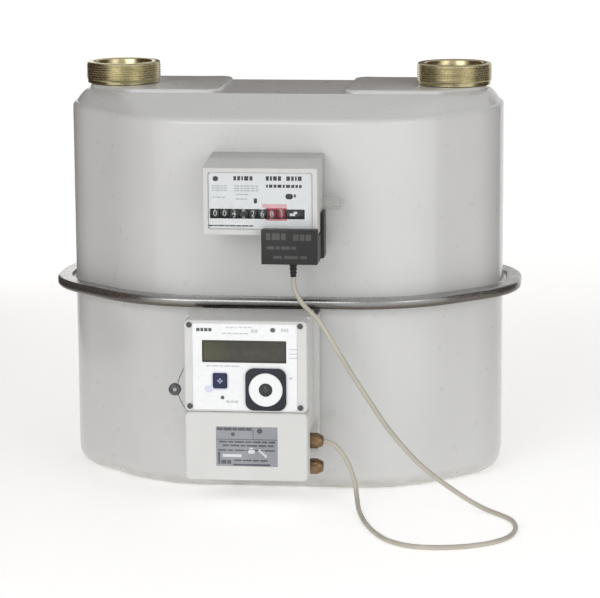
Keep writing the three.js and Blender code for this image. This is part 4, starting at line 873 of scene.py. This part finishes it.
def add_index_housing():
    """A front and a rear half with a sloping roof, and the seal lug on the rear half's right."""
    base_low, base_high = box_mm("index_base")
    cover_low, cover_high = box_mm("index_cover")
    front, back = cover_low.y, base_high.y
    left, right, wall = cover_low.x, cover_high.x, INDEX["wall"]

    def hood(name, y0, y1, inset):
        """A block under the roof, from y0 to y1, with its sides set in."""
        def roof(y):
            share = (y - front) / (back - front)
            return INDEX["roof_front"] + (base_high.z - INDEX["roof_front"]) * share - inset
        floor = cover_low.z + inset
        profile = [(y0, floor), (y1, floor), (y1, roof(y1)), (y0, roof(y0))]
        return prism(name, profile, "x", left + inset, right - inset)

    cover = hood("index_front_housing", front, cover_high.y, 0)
    window = prism("window", front_of("index_window", 0.3, 2.0), "y", front - 5, front + 5)
    cut(cover, hood("hollow", front + wall, cover_high.y + 5, wall), window)
    soften(cover, 0.7)
    place(cover, looks.index_plastic, replaced=["index_cover"])

    base = hood("index_rear_housing", base_low.y, back, 0)
    drive = centre_mm("drive_gland")
    hole = rod("hole", INDEX["drive_bore"], back - 5, back + 5, (drive.x, 0, drive.z), "y", 32)
    cut(base, hood("hollow", base_low.y - 5, back - wall, wall), hole)
    soften(base, 0.7)

    lug_end, lug_low, lug_high = base_high.x, INDEX["lug_low"], INDEX["lug_high"]
    lug_front = cover_high.y + INDEX["lug_ahead"]
    lug_outline = rounded_rect(right - 3, lug_end, lug_low, lug_high, 4.6)
    eye_outline = rounded_rect(lug_end - 11, lug_end - 3, lug_low + 3, lug_high - 3, 1.6)
    lug = prism("lug", lug_outline, "y", lug_front, lug_front + INDEX["lug_depth"])
    cut(lug, prism("eye", eye_outline, "y", lug_front - 4, lug_front + 8))
    soften(lug, 0.6)
    place(merge("index_rear_housing", [base, lug]), looks.index_roof,
          replaced=["index_base"])


def printed(name, marks, front, thickness, material, body="casing"):
    """Flat marks on a face that looks to the front: each is (x0, x1, z0, z1, corner radius)."""
    parts = []
    for x0, x1, z0, z1, radius in marks:
        radius = min(radius, (x1 - x0) / 2.01, (z1 - z0) / 2.01)
        parts.append(prism("mark", rounded_rect(x0, x1, z0, z1, radius, 4), "y", front - thickness, front))
    return place(merge(name, parts), material, body)


def word_marks(*rows):
    """Rows of short bars that read as print without being any text.

    Each row is its left, right, low and high edge, the bars' lengths and the space between them.
    """
    marks = []
    for x, x1, z0, z1, lengths, space in rows:
        scale = (x1 - x) / (sum(lengths) + space * (len(lengths) - 1))
        for length in lengths:
            marks.append((x, x + length * scale, z0, z1, 0.25))
            x += (length + space) * scale
    return marks


def add_dial_print():
    face = box_mm("dial_plate")[0].y
    thick = 0.08
    dark = word_marks(
        (-30.8, -12.6, 318.9, 323.0, [2, 2, 1.2, 3, 2.2], 0.8),
        (0.1, 14.5, 319.0, 323.2, [2.2, 1.6, 2.8, 2.4], 0.8),
        (19.5, 34, 319.0, 323.2, [2.6, 1.8, 1.2, 2.6], 0.8),
        (0.2, 34, 312.3, 315.2, [1.4, 2.6, 2.2, 3, 1.6, 3.2, 2.4, 1.8, 2], 0.9),
        (-55, -12.4, 274.9, 276.2, [5, 3, 7, 4, 6, 5, 7, 4], 0.8),
    )
    dark += [(-50.6, -45.4, 318.0, 322.8, 2.2), (18.6, 25.6, 301.4, 306.6, 2.2)]
    dark += [(26.4, 28.4, 303.2, 306.2, 0.6), (-11.6, -8.4, 297.0, 302.0, 1.2)]
    printed("dial_dark_print", dark, face, thick, looks.ink)
    pale = word_marks(
        (-51.6, -39.0, 302.1, 303.2, [4, 5, 3], 0.9),
        (-28.6, -16.8, 305.0, 306.2, [4, 3, 5], 0.9),
        (-28.6, -18.0, 300.6, 301.8, [3, 5, 2], 0.9),
    )
    for z in (313.6, 311.4, 309.2):
        pale += word_marks(
            (-51.6, -36.8, z - 0.55, z + 0.55, [3, 5, 2.4, 4], 0.8),
            (-30.0, -7.4, z - 0.55, z + 0.55, [5, 3, 6, 4, 2.5], 0.9),
        )
    printed("dial_pale_print", pale, face, thick, looks.pale_ink)
    slot_low, slot_high = 282.3, 291.7
    red_left = box_mm("number_wheel_7")[0].x - 0.2
    red_right = box_mm("number_wheel_8")[1].x + 1.5
    frame_marks = [
        (red_left - 1.0, red_right, slot_high + 0.1, slot_high + 1.3, 0.3),
        (red_left - 1.0, red_right, slot_low - 1.3, slot_low - 0.1, 0.3),
    ]
    printed("dial_red_frame", frame_marks, face, thick, looks.red_ink)
    haze = [(red_left - 4.5, red_right, slot_high + 1.4, slot_high + 5.0, 1.2)]
    printed("dial_pink_field", haze, face, thick, looks.pink_ink)


def digit_mesh(character, height):
    """One digit as a flat mesh in X and Y, centred, `height` millimetres tall."""
    data = bpy.data.curves.new("digit", "FONT")
    data.body = character
    data.align_x = "CENTER"
    data.size = 1.0
    data.resolution_u = 3
    text = add_object("digit", data)
    text_now = text.evaluated_get(bpy.context.evaluated_depsgraph_get())
    mesh = bpy.data.meshes.new_from_object(text_now)
    bpy.data.objects.remove(text)
    ys = [v.co.y for v in mesh.vertices]
    scale = height / (max(ys) - min(ys))
    middle = (max(ys) + min(ys)) / 2
    flat = [(v.co.x * scale, (v.co.y - middle) * scale) for v in mesh.vertices]
    faces = [tuple(p.vertices) for p in mesh.polygons]
    return flat, faces


DIGIT_HEIGHT = 5.6
DIGITS = [digit_mesh(str(d), DIGIT_HEIGHT) for d in range(10)]
DIGITS_SHOWN = [0, 0, 4, 7, 2, 6, 8, 3]
WHEEL_BORE = 2.3
PRINT_LIFT = 0.06


def add_drum(name, length, radius, low_x, axis):
    """A drum about the X axis with a shallow step round each end."""
    edge, step = 0.35, 0.25
    half = [(WHEEL_BORE, 0), (radius - 1.6, 0), (radius - 1.4, step), (radius - edge, step),
            (radius, step + edge)]
    profile = half + [(r, length - x) for r, x in half[::-1]]
    return turned(name, profile, (low_x, axis.y, axis.z), "x", 64)


def on_drum(axis, radius, x, angle):
    """A point just above a drum's surface, at an angle up from its front."""
    reach = radius + PRINT_LIFT
    return x, axis.y - reach * math.cos(angle), axis.z + reach * math.sin(angle)


def add_number_wheel(number):
    """A drum with ten printed digits; the digit that shows at rest faces the front."""
    node = f"number_wheel_{number}"
    low, high = box_mm(node)
    axis = (low + high) / 2
    radius = (high.y - low.y) / 2
    drum = add_drum(f"wheel_drum_{number}", high.x - low.x, radius, low.x, axis)
    finish, slot = (looks.wheel_red, "wheel_red") if number > 6 else (looks.wheel_black, "wheel_black")
    place(drum, finish, f"wheel_{number}", [node])
    points, faces = [], []
    for tenth in range(10):
        flat, digit_faces = DIGITS[(DIGITS_SHOWN[number - 1] + tenth) % 10]
        turn = -2 * math.pi * tenth / 10
        start = len(points)
        points += [on_drum(axis, radius, axis.x + x, turn + y / radius) for x, y in flat]
        faces += [tuple(i + start for i in face) for face in digit_faces]
    digits = solid_from(f"wheel_digits_{number}", points, faces)
    place(digits, looks.digit, f"wheel_{number}")


def add_pulse_wheel():
    """The black drum at the right, with its ten-tooth gear and a white mark."""
    low, high = box_mm("pulse_wheel")
    axis = (low + high) / 2
    radius, length = 9.5, 18.6
    drum = add_drum("pulse_drum", length, radius, low.x, axis)
    gear = []
    teeth, tip, root, width = 10, 10.7, 8.6, 2.4
    for i in range(teeth):
        middle = -math.pi / 2 + 2 * math.pi * i / teeth
        for reach, offset in ((root, -0.625), (tip, -0.375), (tip, 0.375), (root, 0.625)):
            angle = middle + offset * width / reach
            gear.append((axis.y - reach * math.sin(angle), axis.z + reach * math.cos(angle)))
    toothed = prism("gear", gear, "x", high.x - 4, high.x)
    cut(toothed, rod("bore", WHEEL_BORE, 0, 40, (low.x - 1, axis.y, axis.z), "x", 24))
    soften(toothed, 0.25, 2)
    place(merge("pulse_drum_and_gear", [drum, toothed]), looks.wheel_black, "pulse_drum",
          ["pulse_wheel"])
    points, faces = [], []
    steps = 6
    for x0, x1, a0, a1 in ((3.4, 8.6, -0.22, 0.05), (7.2, 10.4, 0.0, 0.22)):
        start = len(points)
        for i in range(steps + 1):
            angle = a0 + (a1 - a0) * i / steps
            points += [on_drum(axis, radius, low.x + x, angle) for x in (x0, x1)]
        for i in range(start, start + 2 * steps, 2):
            faces.append((i, i + 1, i + 3, i + 2))
    flag = solid_from("pulse_drum_mark", points, faces)
    place(flag, looks.dial, "pulse_drum")


# ---------------------------------------------------------------- transmitter

def add_transmitter():
    """A box under the index that reaches over its lower edge, with an arm up its right side."""
    low, high = box_mm("pulse_transmitter")
    index_low, index_high = box_mm("index_cover")
    gap = 0.3
    right, back, lip_top = 50.0, -152.0, 274.0
    arm_front, arm_back = -168.0, -146.0
    under, lip_back = index_low.z - gap, index_low.y - gap
    body = prism(
        "transmitter_housing",
        [(low.y, low.z), (back, low.z), (back, under), (lip_back, under), (lip_back, lip_top),
         (low.y, lip_top)],
        "x", low.x, right,
    )
    arm = block("arm", index_high.x + gap, high.x, arm_front, arm_back, low.z, high.z)
    foot = block("foot", right - 2, high.x, arm_front, back, low.z, under)
    fuse(body, foot, arm)
    soften(body, 0.8)
    place(body, looks.black, replaced=["pulse_transmitter"])
    marks = word_marks(
        (1.2, 20, 264.5, 270.8, [4, 7, 4], 1.2),
        (27, 44, 264.0, 270.2, [5, 4, 5], 1.0),
        (2, 30, 255.5, 258.5, [6, 3, 7, 4], 1.2),
        (8, 40, 246.5, 249.5, [5, 8, 4], 1.4),
    )
    printed("transmitter_label_print", marks, low.y, 0.06, looks.black_print)


def add_strain_relief():
    low, high = box_mm("transmitter_strain_relief")
    centre = (low + high) / 2
    length = high.z - low.z
    profile = [(0, low.z), (2.6, low.z), (2.9, low.z + 0.3)]
    ribs = 4
    for i in range(ribs):
        start = (i + 0.25) * length / ribs
        end = (i + 0.75) * length / ribs
        radius = 3.0 + 0.8 * start / length
        profile += [
            (radius, low.z + start), (radius - 0.55, low.z + start + 0.35),
            (radius - 0.5, low.z + end - 0.35), (radius + 0.1, low.z + end),
        ]
    profile += [(3.8, high.z - 0.3), (3.8, high.z), (0, high.z)]
    relief = turned("strain_relief_boot", profile, (centre.x, centre.y, 0), "z", 40)
    place(relief, looks.black_rubber, replaced=["transmitter_strain_relief"])


# ---------------------------------------------------------------- converter

CONVERTER = {"wall": 2.5, "corner": 5.0, "edge": 2.4, "step_x": 30.0, "step_z": 77.0}
GLAND = {
    "hex_length": 6.0,
    "hex_radius": 8.8,
    "nut_length": 12.0,
    "nut_radius": 7.6,
    "groove": 0.55,
    "tip_radius": 5.0,
    "bore": 2.7,
}


def pan(name, node, openings, hollow_radius=2.5):
    """A rounded housing half, open to the rear, with openings through its face."""
    low, high = box_mm(node)
    wall = CONVERTER["wall"]
    shell = prism(name, front_of(node, 0, CONVERTER["corner"]), "y", low.y, high.y)
    bm = bmesh.new()
    bm.from_mesh(shell.data)
    rim = [e for e in bm.edges if all(abs(v.co.y - low.y * MM) < 1e-6 for v in e.verts)]
    bmesh.ops.bevel(bm, geom=rim, offset=CONVERTER["edge"] * MM, segments=5, affect="EDGES", profile=0.5)
    bm.to_mesh(shell.data)
    bm.free()
    hollow = prism("hollow", front_of(node, -wall, hollow_radius), "y", low.y + wall, high.y + 1)
    cut(shell, hollow, *openings)
    place(shell, looks.converter, replaced=[node], sharp=28)


def screw_centres():
    return [centre_mm(f"cover_screw_{i}") for i in range(1, 5)]


def foil_openings(face):
    """Openings for the display and the button, through the foil or the cover behind it."""
    return [
        prism("opening", front_of(node, play, radius), "y", face - 2, face + 5)
        for node, play, radius in (("display_window", 0.3, 1.0), ("push_button", -0.8, 2.0))
    ]


def add_converter_housing():
    """The front, the terminal cover below it, and the rear housing, stepped at its lower right."""
    face = box_mm("converter_cover")[0].y
    openings = foil_openings(face)
    for centre in screw_centres():
        openings.append(rod("hole", 1.8, face - 2, face + 4, (centre.x, 0, centre.z), "y", 24))
    pan("converter_front_housing", "converter_cover", openings)
    pan("terminal_front_housing", "terminal_cover", [])

    low, high = box_mm("converter_base")
    wall = CONVERTER["wall"]

    def outline(inset):
        left, right, floor, top = low.x + inset, high.x - inset, low.z + inset, high.z - inset
        step_x, step_z = CONVERTER["step_x"] - inset, CONVERTER["step_z"] + inset
        return [(left, floor), (step_x, floor), (step_x, step_z), (right, step_z), (right, top), (left, top)]

    base = prism("converter_rear_housing", outline(0), "y", low.y, high.y)
    tools = [prism("hollow", outline(wall), "y", low.y - 1, high.y - wall)]
    for node in ("cable_gland", "spare_gland"):
        centre = centre_mm(node)
        tools.append(rod("hole", GLAND["bore"], 20, 34, (0, centre.y, centre.z), "x", 24))
    cut(base, *tools)
    soften(base, 1.2, 4)
    place(base, looks.converter, replaced=["converter_base"], sharp=28)


def add_foil_and_print():
    low, high = box_mm("keypad_foil")
    face, thick = low.y, 0.06
    foil = prism("keypad_sheet", front_of("keypad_foil", 0, 2.2), "y", low.y, high.y)
    cut(foil, *foil_openings(face))
    place(foil, looks.foil, replaced=["keypad_foil"])
    dark = word_marks((-65.0, -50.4, 177.4, 180.6, [3, 2.6, 3, 2.8], 0.7))
    dark += [(5.6, 10.4, 177.2, 181.6, 2.0), (-42.4, -38.8, 111.6, 115.2, 1.6)]
    printed("foil_dark_print", dark, face, thick, looks.label_dark)
    grey = word_marks(
        (-36.6, -26.4, 180.8, 182.0, [3, 4, 2], 0.8),
        (-24.6, -12.2, 181.0, 182.2, [4, 3, 4], 0.8),
        (-40.6, -15.4, 175.0, 176.3, [5, 4, 6, 3, 5], 0.8),
        (-12.6, -6.6, 176.6, 179.8, [2, 2], 0.7),
        (15.8, 22.8, 177.8, 180.8, [2.4, 2, 1.8], 0.7),
        (-37.2, -25.6, 108.4, 110.6, [4, 3, 4], 0.8),
        (-56.0, -24.4, 143.4, 144.6, [4, 6, 3, 5, 7], 0.9),
    )
    grey += [(23.6, 31.8, z - 0.45, z + 0.45, 0.3) for z in (160.9, 156.6, 152.6)]
    grey += [(23.4, 26.6, 132.2, 134.2, 0.8)]
    printed("foil_grey_print", grey, face, thick, looks.pale_ink)
    ring = prism("halo", front_of("push_button", 0.8, 4.4), "y", face - thick, face)
    hole = prism("hole", front_of("push_button", -0.8, 2.0), "y", face - 1, face + 1)
    place(cut(ring, hole), looks.halo)
    patch = [(-57.6, -49.2, 118.2, 125.0, 3.0)]
    printed("foil_soft_mark", patch, face, 0.04, looks.halo)


def add_display():
    low, high = box_mm("display_window")
    pane = prism("display_pane", front_of("display_window", 0, 1.0), "y", low.y, high.y)
    soften(pane, 0.18, 2)
    place(pane, looks.display, replaced=["display_window"])
    border = prism("border", front_of("display_window", -0.4, 0.8), "y", low.y - 0.04, low.y)
    seen = rounded_rect(low.x + 1.6, high.x - 1.6, low.z + 1.8, high.z - 1.8, 0.6)
    place(cut(border, prism("inner", seen, "y", low.y - 1, low.y + 1)), looks.frame_black)


def add_button():
    low, high = box_mm("push_button")
    centre = (low + high) / 2
    flange, arm, half = 1.2, 2.4, 0.8
    cap = prism("button_cap", front_of("push_button", -flange, 2.6), "y", low.y, high.y)
    rim = prism("rim", front_of("push_button", 0, 2.4), "y", high.y - 1.0, high.y)
    fuse(cap, rim)
    soften(cap, 0.5)
    place(cap, looks.navy, "button", ["push_button"])
    plus = [
        (centre.x - across, centre.x + across, centre.z - up, centre.z + up, 0.4)
        for across, up in ((arm, half), (half, arm))
    ]
    printed("button_symbol", plus, low.y, 0.05, looks.violet, body="button")


def add_optical_port():
    """A rounded plate with a white ring round a small recessed eye."""
    low, high = box_mm("optical_port")
    face = low.y
    middle = centre_mm("optical_port")
    middle.y = 0
    seat_radius = 6.4
    plate = prism("port_plate", front_of("optical_port", 0, 8.0), "y", face + 1, high.y)
    soften(plate, 0.5)
    cut(plate, rod("seat", seat_radius, face - 1, face + 1.6, middle, "y", 48))
    place(plate, looks.navy_print, replaced=["optical_port"])
    ring_profile = [
        (6.5, 1.4), (6.5, 0.3), (6.9, 0), (15.6, 0), (16.1, 0.5), (16.1, 1.0), (15.2, 1.05), (7.0, 1.2),
    ]
    ring = turned("port_ring", [(r, face + y) for r, y in ring_profile], middle, "y", 72)
    place(ring, looks.foil)
    floor = rod("port_floor", seat_radius - 0.02, face + 1.5, face + 2.0, middle, "y", 48)
    place(floor, looks.port_core)
    dome = [(0, face + 0.9)]
    for step in range(1, 6):
        angle = math.radians(90 - 15 * step)
        dome.append((2.6 * math.cos(angle), face + 1.5 - 0.6 * math.sin(angle)))
    dome += [(2.9, face + 1.5), (2.9, face + 2.2), (0, face + 2.2)]
    eye = turned("port_eye", dome, middle, "y", 32)
    place(eye, looks.display)


def add_screws():
    """Four cross-slotted screws."""
    for number, centre in enumerate(screw_centres(), 1):
        low, high = box_mm(f"cover_screw_{number}")
        seat = low.y + 1.6
        profile = [(0, low.y), (1.6, low.y + 0.02), (2.2, low.y + 0.25), (2.6, low.y + 0.7), (2.7, seat),
                   (1.5, seat), (1.5, high.y - 1.0), (0.9, high.y), (0, high.y)]
        screw = turned(f"screw_{number}", profile, (centre.x, 0, centre.z), "y", 32)
        for across, up in ((1.9, 0.35), (0.35, 1.9)):
            slot = block("slot", centre.x - across, centre.x + across, low.y - 1, low.y + 0.9,
                         centre.z - up, centre.z + up)
            cut(screw, slot)
        place(screw, looks.dark_steel, replaced=[f"cover_screw_{number}"])


def add_label():
    """A generic rating label: grey ground with dark and pale marks, no text."""
    cover_face = box_mm("terminal_cover")[0].y
    thickness = 0.12
    face = cover_face - thickness
    left, right, bottom, top = -47.4, 11.8, 46.1, 84.9
    sheet = prism("label_sheet", rounded_rect(left, right, bottom, top, 0.8), "y", face, cover_face)
    place(sheet, looks.label)
    dark = word_marks(
        (-46.6, -13.0, 81.2, 83.9, [5, 7, 4, 6, 5], 0.6),
        (-44.5, 9.5, 69.2, 71.0, [6, 4, 7, 5, 6, 4, 5], 0.9),
        (-41.0, 8.0, 65.6, 67.4, [4, 6, 3, 7, 5, 4], 0.9),
        (-45.5, 9.0, 61.2, 62.6, [5, 3, 6, 4, 5, 6], 0.9),
        (-42.6, -33.0, 48.4, 52.2, [4, 3], 0.6),
        (-30.0, 2.0, 51.2, 52.8, [5, 6, 4, 5], 0.9),
    )
    dark += [(-8.0, -2.6, 78.4, 83.8, 2.7), (-33.0, -29.2, 75.6, 79.4, 1.8)]
    dark += [(-46.6, 11.0, 72.2, 72.9, 0.2), (-12.0, -11.4, 73.0, 84.0, 0.2)]
    dark += [(-45.6, -43.6, 48.2, 60.0, 0.3), (-31.0, 4.6, 46.9, 48.6, 0.4)]
    printed("label_dark_print", dark, face, 0.05, looks.label_dark)
    pale = [(-41.2, -23.0, 55.2, 58.0, 0.5), (-16.4, -10.2, 58.8, 62.4, 0.7), (-15.0, -12.0, 63.2, 64.6, 0.5)]
    for i in range(4):
        x, z = -6.6 + 1.9 * i, 60.4 - 1.7 * i
        pale.append((x, x + 2.2, z, z + 2.6, 0.5))
    printed("label_pale_print", pale, face, 0.07, looks.label_pale)


def add_gland(node, name, is_open):
    """A hexagon against the housing, and a grooved nut that narrows to its tip."""
    low, high = box_mm(node)
    axis = (low + high) / 2

    def round_outline(count, radius_at, start=0.0):
        points = []
        for i in range(count):
            angle = start + 2 * math.pi * i / count
            points.append((axis.y + radius_at(i) * math.cos(angle), axis.z + radius_at(i) * math.sin(angle)))
        return points

    hexagon = prism(name, round_outline(6, lambda i: GLAND["hex_radius"], math.pi / 6), "x", low.x,
                    low.x + GLAND["hex_length"])
    soften(hexagon, 0.5, 3, 20)
    start = low.x + GLAND["hex_length"]
    end = start + GLAND["nut_length"]
    grooved = round_outline(48, lambda i: GLAND["nut_radius"] - (GLAND["groove"] if i % 4 < 2 else 0))
    nut = prism("nut", grooved, "x", start + 0.8, end - 1.2)
    inner = GLAND["bore"] if is_open else 0.0
    tip = GLAND["tip_radius"]
    core = [
        (inner, start - 0.2), (6.4, start - 0.2), (6.4, start + 0.9), (7.1, start + 1.0), (7.1, end - 1.0),
        (6.9, end - 0.4), (6.3, end + 1.4), (tip + 0.3, high.x - 0.5), (tip - 0.4, high.x), (inner, high.x),
    ]
    body = turned("core", core, (0, axis.y, axis.z), "x", 48)
    place(merge(name, [hexagon, nut, body]), looks.gland, replaced=[node])


# The seal's wire, from the converter's left edge out through the lead disc and back. Millimetres.
SEAL_CENTRE = (-91.5, 0, 113.0)
SEAL_ROUTE = [
    (-78.6, -180, 140), (-84, -180, 131), (-88, -180, 121), (-89, -180, 112), (-85, -180, 100),
    (-78.6, -180, 90),
]


def add_lead_seal():
    """A pressed lead disc on two strands of twisted wire."""
    front, back = box_mm("lead_seal")[0].y, -177.5
    disc = turned(
        "lead_disc",
        [(2.0, front + 0.8), (2.6, front + 0.2), (4.9, front), (5.7, front + 0.5), (6.0, front + 1.4),
         (6.0, back - 0.8), (5.4, back), (2.0, back)],
        SEAL_CENTRE, "y", 40,
    )
    place(disc, looks.lead, replaced=["lead_seal"])
    eye = rod("lead_eye", 1.95, front + 0.9, back - 0.5, SEAL_CENTRE, "y", 24)
    place(eye, looks.lead_light)
    line = smooth_route([Vector(p) * MM for p in SEAL_ROUTE], 12)
    lay, twist, radius = 0.35 * MM, 0.55, 0.38 * MM
    for strand, phase in ((1, 0.0), (2, math.pi)):
        twisted = []
        for i, point in enumerate(line):
            angle = phase + i * twist
            twisted.append(point + lay * Vector((math.cos(angle), math.sin(angle), 0)))
        place(curve_object(f"seal_wire_{strand}", twisted, radius, 2), looks.steel)


def add_bracket():
    """A painted channel behind the converter, open to the rear."""
    low, high = box_mm("mounting_bracket")
    sheet = 2.0
    outline = [
        (low.x, high.y), (low.x, low.y), (high.x, low.y), (high.x, high.y), (high.x - sheet, high.y),
        (high.x - sheet, low.y + sheet), (low.x + sheet, low.y + sheet), (low.x + sheet, high.y),
    ]
    channel = prism("bracket_channel", outline, "z", low.z, high.z)
    soften(channel, 0.6)
    place(channel, looks.paint, replaced=["mounting_bracket"])


# ---------------------------------------------------------------- inner pieces

def repaint_inner_pieces():
    """The sealed mechanism keeps its CAD shapes, with worked materials."""
    painted = {
        looks.rubber: ["casing_gasket"],
        looks.unit: ["outlet_duct", "measuring_housing", "front_chamber_cover", "rear_chamber_cover"],
        looks.cloth: ["front_diaphragm", "rear_diaphragm"],
        looks.zinc: ["front_diaphragm_plate", "rear_diaphragm_plate"],
        looks.steel: ["front_flag_rod", "rear_flag_rod", "crank_wheel", "front_crank_link",
                      "rear_crank_link", "wheel_shaft"],
        looks.valve: ["valve_table", "front_slide_valve", "rear_slide_valve", "battery"],
        looks.brass: ["index_drive_shaft", "drive_gland", "index_layshaft"],
        looks.dial: ["dial_plate"],
        looks.pane: ["index_window"],
        looks.board: ["circuit_board", "terminal_block"],
    }
    for material, nodes in painted.items():
        for node in nodes:
            repaint(node, material)


# ---------------------------------------------------------------- stage

def scenery(name, material, corners):
    """A four-cornered sheet, in metres, that isn't part of the meter."""
    mesh = bpy.data.meshes.new(name)
    mesh.from_pydata(corners, [], [(0, 1, 2, 3)])
    obj = add_object(name, mesh)
    obj.data.materials.append(material)
    return obj


def standing_card(name, material, start, end, low, high, is_shading=False):
    """An upright card between two floor points: reflected, and shading if asked."""
    corners = [(*start, low), (*end, low), (*end, high), (*start, high)]
    obj = scenery(name, material, corners)
    obj.visible_camera = False
    obj.visible_shadow = False
    obj.visible_diffuse = is_shading


def add_light(name, location, size_x, size_y, power):
    """A soft light that looks at the meter's lower half."""
    data = bpy.data.lights.new(name, "AREA")
    data.shape = "RECTANGLE"
    data.size, data.size_y = size_x, size_y
    data.energy = power
    light = add_object(name, data)
    light.location = location
    aim = Vector((0, 0, 0.2)) - Vector(location)
    light.rotation_euler = aim.to_track_quat("-Z", "Y").to_euler()


def add_world():
    """White light from all round, a little weaker from above than from the sides."""
    side_strength, top_strength = 0.86, 0.62
    world = bpy.data.worlds.new("studio")
    world.use_nodes = True
    tree = world.node_tree
    direction = tree.nodes.new("ShaderNodeTexCoord").outputs["Generated"]
    split = tree.nodes.new("ShaderNodeSeparateXYZ")
    tree.links.new(direction, split.inputs["Vector"])
    ramp = tree.nodes.new("ShaderNodeMapRange")
    values = {"From Min": 0.05, "From Max": 0.7, "To Min": side_strength, "To Max": top_strength}
    for socket, value in values.items():
        ramp.inputs[socket].default_value = value
    tree.links.new(split.outputs["Z"], ramp.inputs["Value"])
    background = tree.nodes["Background"]
    tree.links.new(ramp.outputs["Result"], background.inputs["Strength"])
    background.inputs["Color"].default_value = (1, 1, 1, 1)
    bpy.context.scene.world = world


def add_stage():
    size = 14.0
    scenery("floor", looks.floor, [(-size, -size, 0), (size, -size, 0), (size, size, 0), (-size, size, 0)])
    add_light("key", (-1.1, -3.2, 1.5), 2.0, 1.4, 26)
    add_light("fill", (2.2, -2.4, 1.2), 1.4, 1.4, 10)
    # Cards behind and beside the meter give the deck, the side walls and the metal something
    # darker and something lighter to reflect.
    standing_card("card_behind", looks.brown_card, (-0.33, 1.2), (0.16, 1.2), 0.30, 0.86)
    standing_card("card_behind_left", looks.white_card, (-1.0, 1.15), (-0.34, 1.2), 0.30, 0.90)
    standing_card("card_left", looks.brown_card, (-0.85, -0.75), (-0.62, 0.9), 0.0, 1.3, is_shading=True)
    standing_card("card_right", looks.brown_card, (1.0, -0.35), (0.8, 0.9), 0.0, 1.0, is_shading=True)
    add_world()
    bpy.context.scene.view_settings.view_transform = "Standard"


# ---------------------------------------------------------------- everything

add_camera()
add_cable(looks.cable)
add_upper_casing()
add_lower_casing()
add_clamp_band()
add_connector("inlet_connector", "inlet_collar")
add_connector("outlet_connector", "outlet_collar")
add_index_housing()
add_dial_print()
for wheel_number in range(1, 9):
    add_number_wheel(wheel_number)
add_pulse_wheel()
add_transmitter()
add_strain_relief()
add_converter_housing()
add_foil_and_print()
add_display()
add_button()
add_optical_port()
add_screws()
add_label()
add_gland("cable_gland", "cable_gland_nut", True)
add_gland("spare_gland", "spare_gland_nut", False)
add_lead_seal()
add_bracket()
repaint_inner_pieces()
add_stage()
